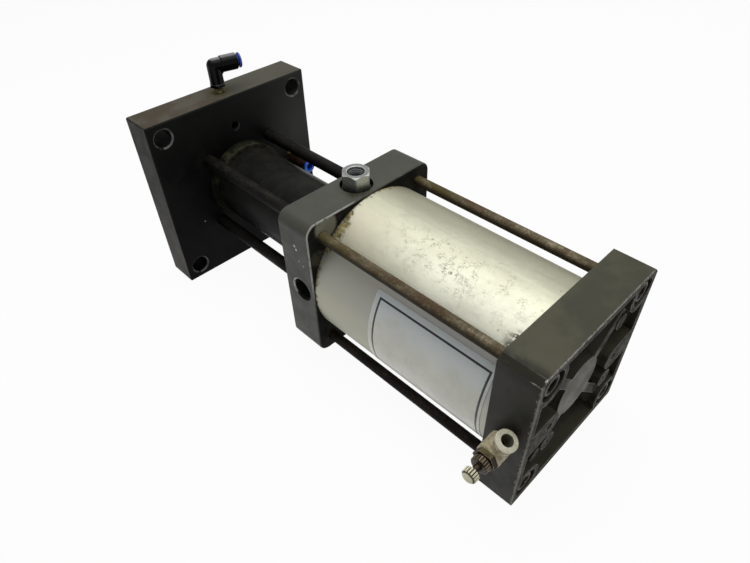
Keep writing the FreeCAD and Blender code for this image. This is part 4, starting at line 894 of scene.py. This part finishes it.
# near-black threads for the side port and the spare hole: painted shade in the holes
BLACK_THREAD = moulded("black_thread", rgb(0.004, 0.004, 0.0035), rgb(0.007, 0.007, 0.006), 0.7, 0.00003, 0.1)
BRASS = brass_tarnished("brass_olive", rgb(0.05, 0.042, 0.014), rgb(0.24, 0.2, 0.075), 0.45, 0.7)
OLD_BRASS = brass_tarnished("brass_brown", rgb(0.032, 0.022, 0.016), rgb(0.1, 0.08, 0.036), 0.58, 0.8)
DARK_BRASS = brass_tarnished("brass_black", rgb(0.02, 0.015, 0.011), rgb(0.07, 0.052, 0.03), 0.5, 0.75)
CHROME = plain_metal("rod_chrome", rgb(0.78, 0.78, 0.78), rgb(0.7, 0.7, 0.71), 0.12)
SLEEVE = sleeve_dark()
INDIGO = moulded("ring_indigo", rgb(0.02, 0.05, 0.36), rgb(0.05, 0.09, 0.5), 0.35)
BLUE = moulded("ring_blue", rgb(0.01, 0.13, 0.66), rgb(0.02, 0.19, 0.78), 0.35)
BLACK = fitting_black()
RUBBER = moulded("seal_rubber", rgb(0.018, 0.018, 0.018), rgb(0.03, 0.03, 0.029), 0.6, 0.00006)

dress(["front_flange"], FLANGE)
dress(["oil_tube"], tube_black())
dress(["middle_block"], BLOCK)
dress(["rear_cap"], cap_grey())
dress(["air_tube"], tube_champagne())
dress(["label_film"], label_blank())
dress(["front_tie_rod_1"],
      rod_steel("rod_worn", rgb(0.008, 0.0078, 0.0065), rgb(0.03, 0.028, 0.022), 0.4, 0.0))
dress(["front_tie_rod_%d" % k for k in (2, 3, 4)],
      rod_steel("rod_dark", rgb(0.01, 0.0095, 0.008), rgb(0.022, 0.02, 0.017), 0.4, 0.0))
dress(["rear_tie_rod_1", "rear_tie_rod_3"],
      rod_steel("rod_rusty", rgb(0.145, 0.114, 0.066), rgb(0.27, 0.228, 0.15), 0.25, 0.8))
# the lower rear rods: a darker copy of the rod steel as painted shade under the large tube, with a faint oily
# band at the block
dress(["rear_tie_rod_2", "rear_tie_rod_4"],
      rod_steel("rod_lower_shaded", rgb(0.014, 0.0105, 0.0095), rgb(0.04, 0.03, 0.025), 0.3, 0.15))
dress(["rear_sleeve_nuts", "oil_port_washer"], SLEEVE)
dress(["front_tie_rod_nuts", "plunger_nut", "working_nut"],
      plain_metal("nut_steel", rgb(0.4, 0.39, 0.37), rgb(0.3, 0.29, 0.27), 0.38))
dress(["oil_port_adapter"], ZINC)
dress(["plunger", "working_rod"], CHROME)
dress(["booster_piston", "working_piston"],
      plain_metal("piston_metal", rgb(0.68, 0.68, 0.67), rgb(0.6, 0.6, 0.6), 0.33))
dress(["oil_tube_front_seal", "oil_tube_rear_seal", "air_tube_front_seal", "air_tube_rear_seal",
       "booster_rear_seal", "booster_front_seal", "plunger_seal", "working_rear_seal", "working_front_seal",
       "rod_seal", "rod_wiper", "elbow_seal", "piston_bumper"], RUBBER)
dress(["booster_wear_ring", "working_wear_ring"],
      moulded("wear_plastic", rgb(0.3, 0.25, 0.16), rgb(0.36, 0.3, 0.2), 0.5))
dress(["plunger_bush", "rod_bush"],
      plain_metal("bush_bronze", rgb(0.56, 0.38, 0.18), rgb(0.46, 0.31, 0.15), 0.35))
dress(["elbow_stem", "straight_stem"], BRASS)
dress(["valve_stem"], OLD_BRASS)
dress(["valve_needle"], DARK_BRASS)
dress(["valve_locknut"], knurl_brass())
dress(["elbow_body"], BLACK)
dress(["straight_body"],
      moulded("fitting_brown", rgb(0.014, 0.007, 0.005), rgb(0.028, 0.014, 0.009), 0.35, 0.00001, 0.2))
dress(["elbow_release_ring"], INDIGO)
dress(["straight_release_ring"], BLUE)
dress(["valve_body"], cream_plastic())
dress(["valve_release_ring"], cream_lip())
dress(["valve_knob"], ribbed_cream())


def deselect():
    bpy.ops.object.select_all(action="DESELECT")


def finish_piece(piece, name, body, finish):
    """Sets a new piece's name, finish and the body it moves with."""
    piece.name = name
    piece.data.materials.clear()
    piece.data.materials.append(finish)
    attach(piece, body)


def thread_rings(start, axis, screw, inward=True):
    """The ridges of a screw thread: a ring extruded in zigzag steps, given a wall."""
    radius, crest, pitch, turns = screw
    deselect()
    bpy.ops.mesh.primitive_circle_add(vertices=THREAD_CORNERS, radius=radius)
    piece = bpy.context.object
    bpy.ops.object.mode_set(mode="EDIT")
    bpy.ops.mesh.select_all(action="SELECT")
    inner = True
    for step in range(2 * turns):
        bpy.ops.mesh.extrude_region_move(TRANSFORM_OT_translate={"value": (0.0, 0.0, pitch / 2)})
        share = crest / radius if inner else radius / crest
        height = (step + 1) * pitch / 2
        bpy.ops.transform.resize(value=(share, share, 1.0), center_override=(0.0, 0.0, height))
        inner = not inner
    bpy.ops.mesh.select_all(action="SELECT")
    bpy.ops.mesh.normals_make_consistent(inside=inward)
    bpy.ops.object.mode_set(mode="OBJECT")
    thicken = piece.modifiers.new("wall", "SOLIDIFY")
    thicken.thickness = THREAD_WALL
    thicken.offset = -1.0
    bpy.ops.object.modifier_apply(modifier=thicken.name)
    turn = Vector((0.0, 0.0, 1.0)).rotation_difference(Vector(axis)).to_matrix().to_4x4()
    piece.matrix_world = Matrix.Translation(start) @ turn
    bpy.ops.object.transform_apply(location=True, rotation=True, scale=True)
    return piece


def add_threads():
    """Threads in the open ports, the rod's end and the nuts' mouths, and on the elbow's neck."""
    oil = thread_rings((BLOCK_MIDDLE, 0, OIL_PORT_TOP - 0.0014), (0, 0, -1), OIL_PORT_SCREW)
    finish_piece(oil, "oil_port_thread", "housing", THREAD_IN_SHADE)
    side = thread_rings((SIDE_PORT_X, BLOCK_SIDE - 0.0012, SIDE_PORT_HEIGHT), (0, -1, 0), SIDE_PORT_SCREW)
    finish_piece(side, "side_port_thread", "housing", BLACK_THREAD)
    rod = thread_rings((ROD_END - 0.0016, 0, 0), (-1, 0, 0), ROD_END_SCREW)
    finish_piece(rod, "rod_end_thread_ridges", "output_rod", CHROME)
    spare = thread_rings((FLANGE_BACK + 0.0003, 0, SPARE_HEIGHT), (1, 0, 0), SPARE_SCREW)
    finish_piece(spare, "spare_hole_thread", "housing", BLACK_THREAD)
    add_sleeve_threads()
    neck = thread_rings((FLANGE_MIDDLE, 0, FLANGE_HALF + 0.0002), (0, 0, 1), NECK_SCREW, inward=False)
    finish_piece(neck, "elbow_neck_thread", "housing", BRASS)


def add_sleeve_threads():
    """One thread in a sleeve nut's mouth, copied to the other three."""
    first = thread_rings((SLEEVE_FACE + 0.0003, REAR_ROD_AT, REAR_ROD_AT), (1, 0, 0), SLEEVE_SCREW)
    finish_piece(first, "sleeve_thread_1", "housing", SLEEVE)
    for number, (y, z) in enumerate(((1, -1), (-1, 1), (-1, -1)), 2):
        copy = bpy.data.objects.new("sleeve_thread", first.data.copy())
        bpy.context.scene.collection.objects.link(copy)
        shift = ((y - 1) * REAR_ROD_AT, (z - 1) * REAR_ROD_AT)
        copy.data.transform(Matrix.Translation((0.0, shift[0], shift[1])))
        finish_piece(copy, "sleeve_thread_%d" % number, "housing", SLEEVE)


def seen_plainly(tree):
    """One for the rays that show the background: from the camera, by reflection or through glass."""
    path = node(tree, "ShaderNodeLightPath").outputs
    seen = either(tree, path["Is Camera Ray"], path["Is Glossy Ray"])
    return either(tree, seen, path["Is Transmission Ray"])


def add_floor():
    """A plain pale floor under the two edges that the cylinder lies on."""
    slope = math.atan2(FLOOR_REAR[1] - FLOOR_FRONT[1], FLOOR_FRONT[0] - FLOOR_REAR[0])
    deselect()
    bpy.ops.mesh.primitive_plane_add(size=FLOOR_SIZE)
    floor = bpy.context.object
    floor.name = "floor"
    place = Matrix.Translation((FLOOR_FRONT[0], 0.0, FLOOR_FRONT[1]))
    floor.matrix_world = place @ Matrix.Rotation(slope, 4, "Y")
    made, tree, shader = material("floor_pale")
    fill(tree, shader.inputs["Base Color"], rgb(FLOOR_GREY, FLOOR_GREY, FLOOR_GREY))
    fill(tree, shader.inputs["Roughness"], 0.9)
    fill(tree, shader.inputs["Specular IOR Level"], 0.1)
    white = node(tree, "ShaderNodeEmission", {"Color": rgb(1.0, 1.0, 1.0), "Strength": 1.0})
    share = times(tree, seen_plainly(tree), FLOOR_GLOW)
    mix = node(tree, "ShaderNodeMixShader", {0: share, 1: shader.outputs[0], 2: white.outputs[0]})
    fill(tree, tree.nodes["Material Output"].inputs["Surface"], mix.outputs[0])
    floor.data.materials.append(made)


def add_lamp(name, place, target, size, power):
    """A soft square lamp that looks at a target."""
    lamp = bpy.data.lights.new(name, "AREA")
    lamp.shape = "SQUARE"
    lamp.size = size
    lamp.energy = power
    holder = bpy.data.objects.new(name, lamp)
    holder.location = place
    aim = Vector(target) - Vector(place)
    holder.rotation_euler = aim.to_track_quat("-Z", "Y").to_euler()
    bpy.context.scene.collection.objects.link(holder)


def add_light():
    """Plain light from all round, a pale background and one soft lamp."""
    world = bpy.data.worlds.new("room")
    world.use_nodes = True
    tree = world.node_tree
    plain = tree.nodes["Background"]
    fill(tree, plain.inputs["Color"], rgb(1.0, 1.0, 1.0))
    fill(tree, plain.inputs["Strength"], ROOM_LIGHT)
    grey = rgb(ROOM_GREY, ROOM_GREY, ROOM_GREY)
    pale = node(tree, "ShaderNodeBackground", {"Color": grey, "Strength": 1.0})
    mix = node(tree, "ShaderNodeMixShader", {0: seen_plainly(tree), 1: plain.outputs[0], 2: pale.outputs[0]})
    fill(tree, tree.nodes["World Output"].inputs["Surface"], mix.outputs[0])
    bpy.context.scene.world = world
    add_lamp("ceiling_box", LAMP_PLACE, LAMP_TARGET, LAMP_SIZE, LAMP_POWER)


def add_camera():
    """The photograph's own view."""
    data = bpy.data.cameras.new("camera")
    data.sensor_fit = "HORIZONTAL"
    data.sensor_width = SENSOR
    data.lens = CAMERA_LENS
    data.clip_start = 0.01
    camera = bpy.data.objects.new("camera", data)
    right, up, back = Vector(CAMERA_RIGHT), -Vector(CAMERA_DOWN), -Vector(CAMERA_AHEAD)
    turn = Matrix((right, up, back)).transposed().to_4x4()
    camera.matrix_world = Matrix.Translation(CAMERA_PLACE) @ turn
    bpy.context.scene.collection.objects.link(camera)
    bpy.context.scene.camera = camera


add_threads()
add_floor()
add_light()
add_camera()
bpy.context.scene.view_settings.view_transform = "Standard"
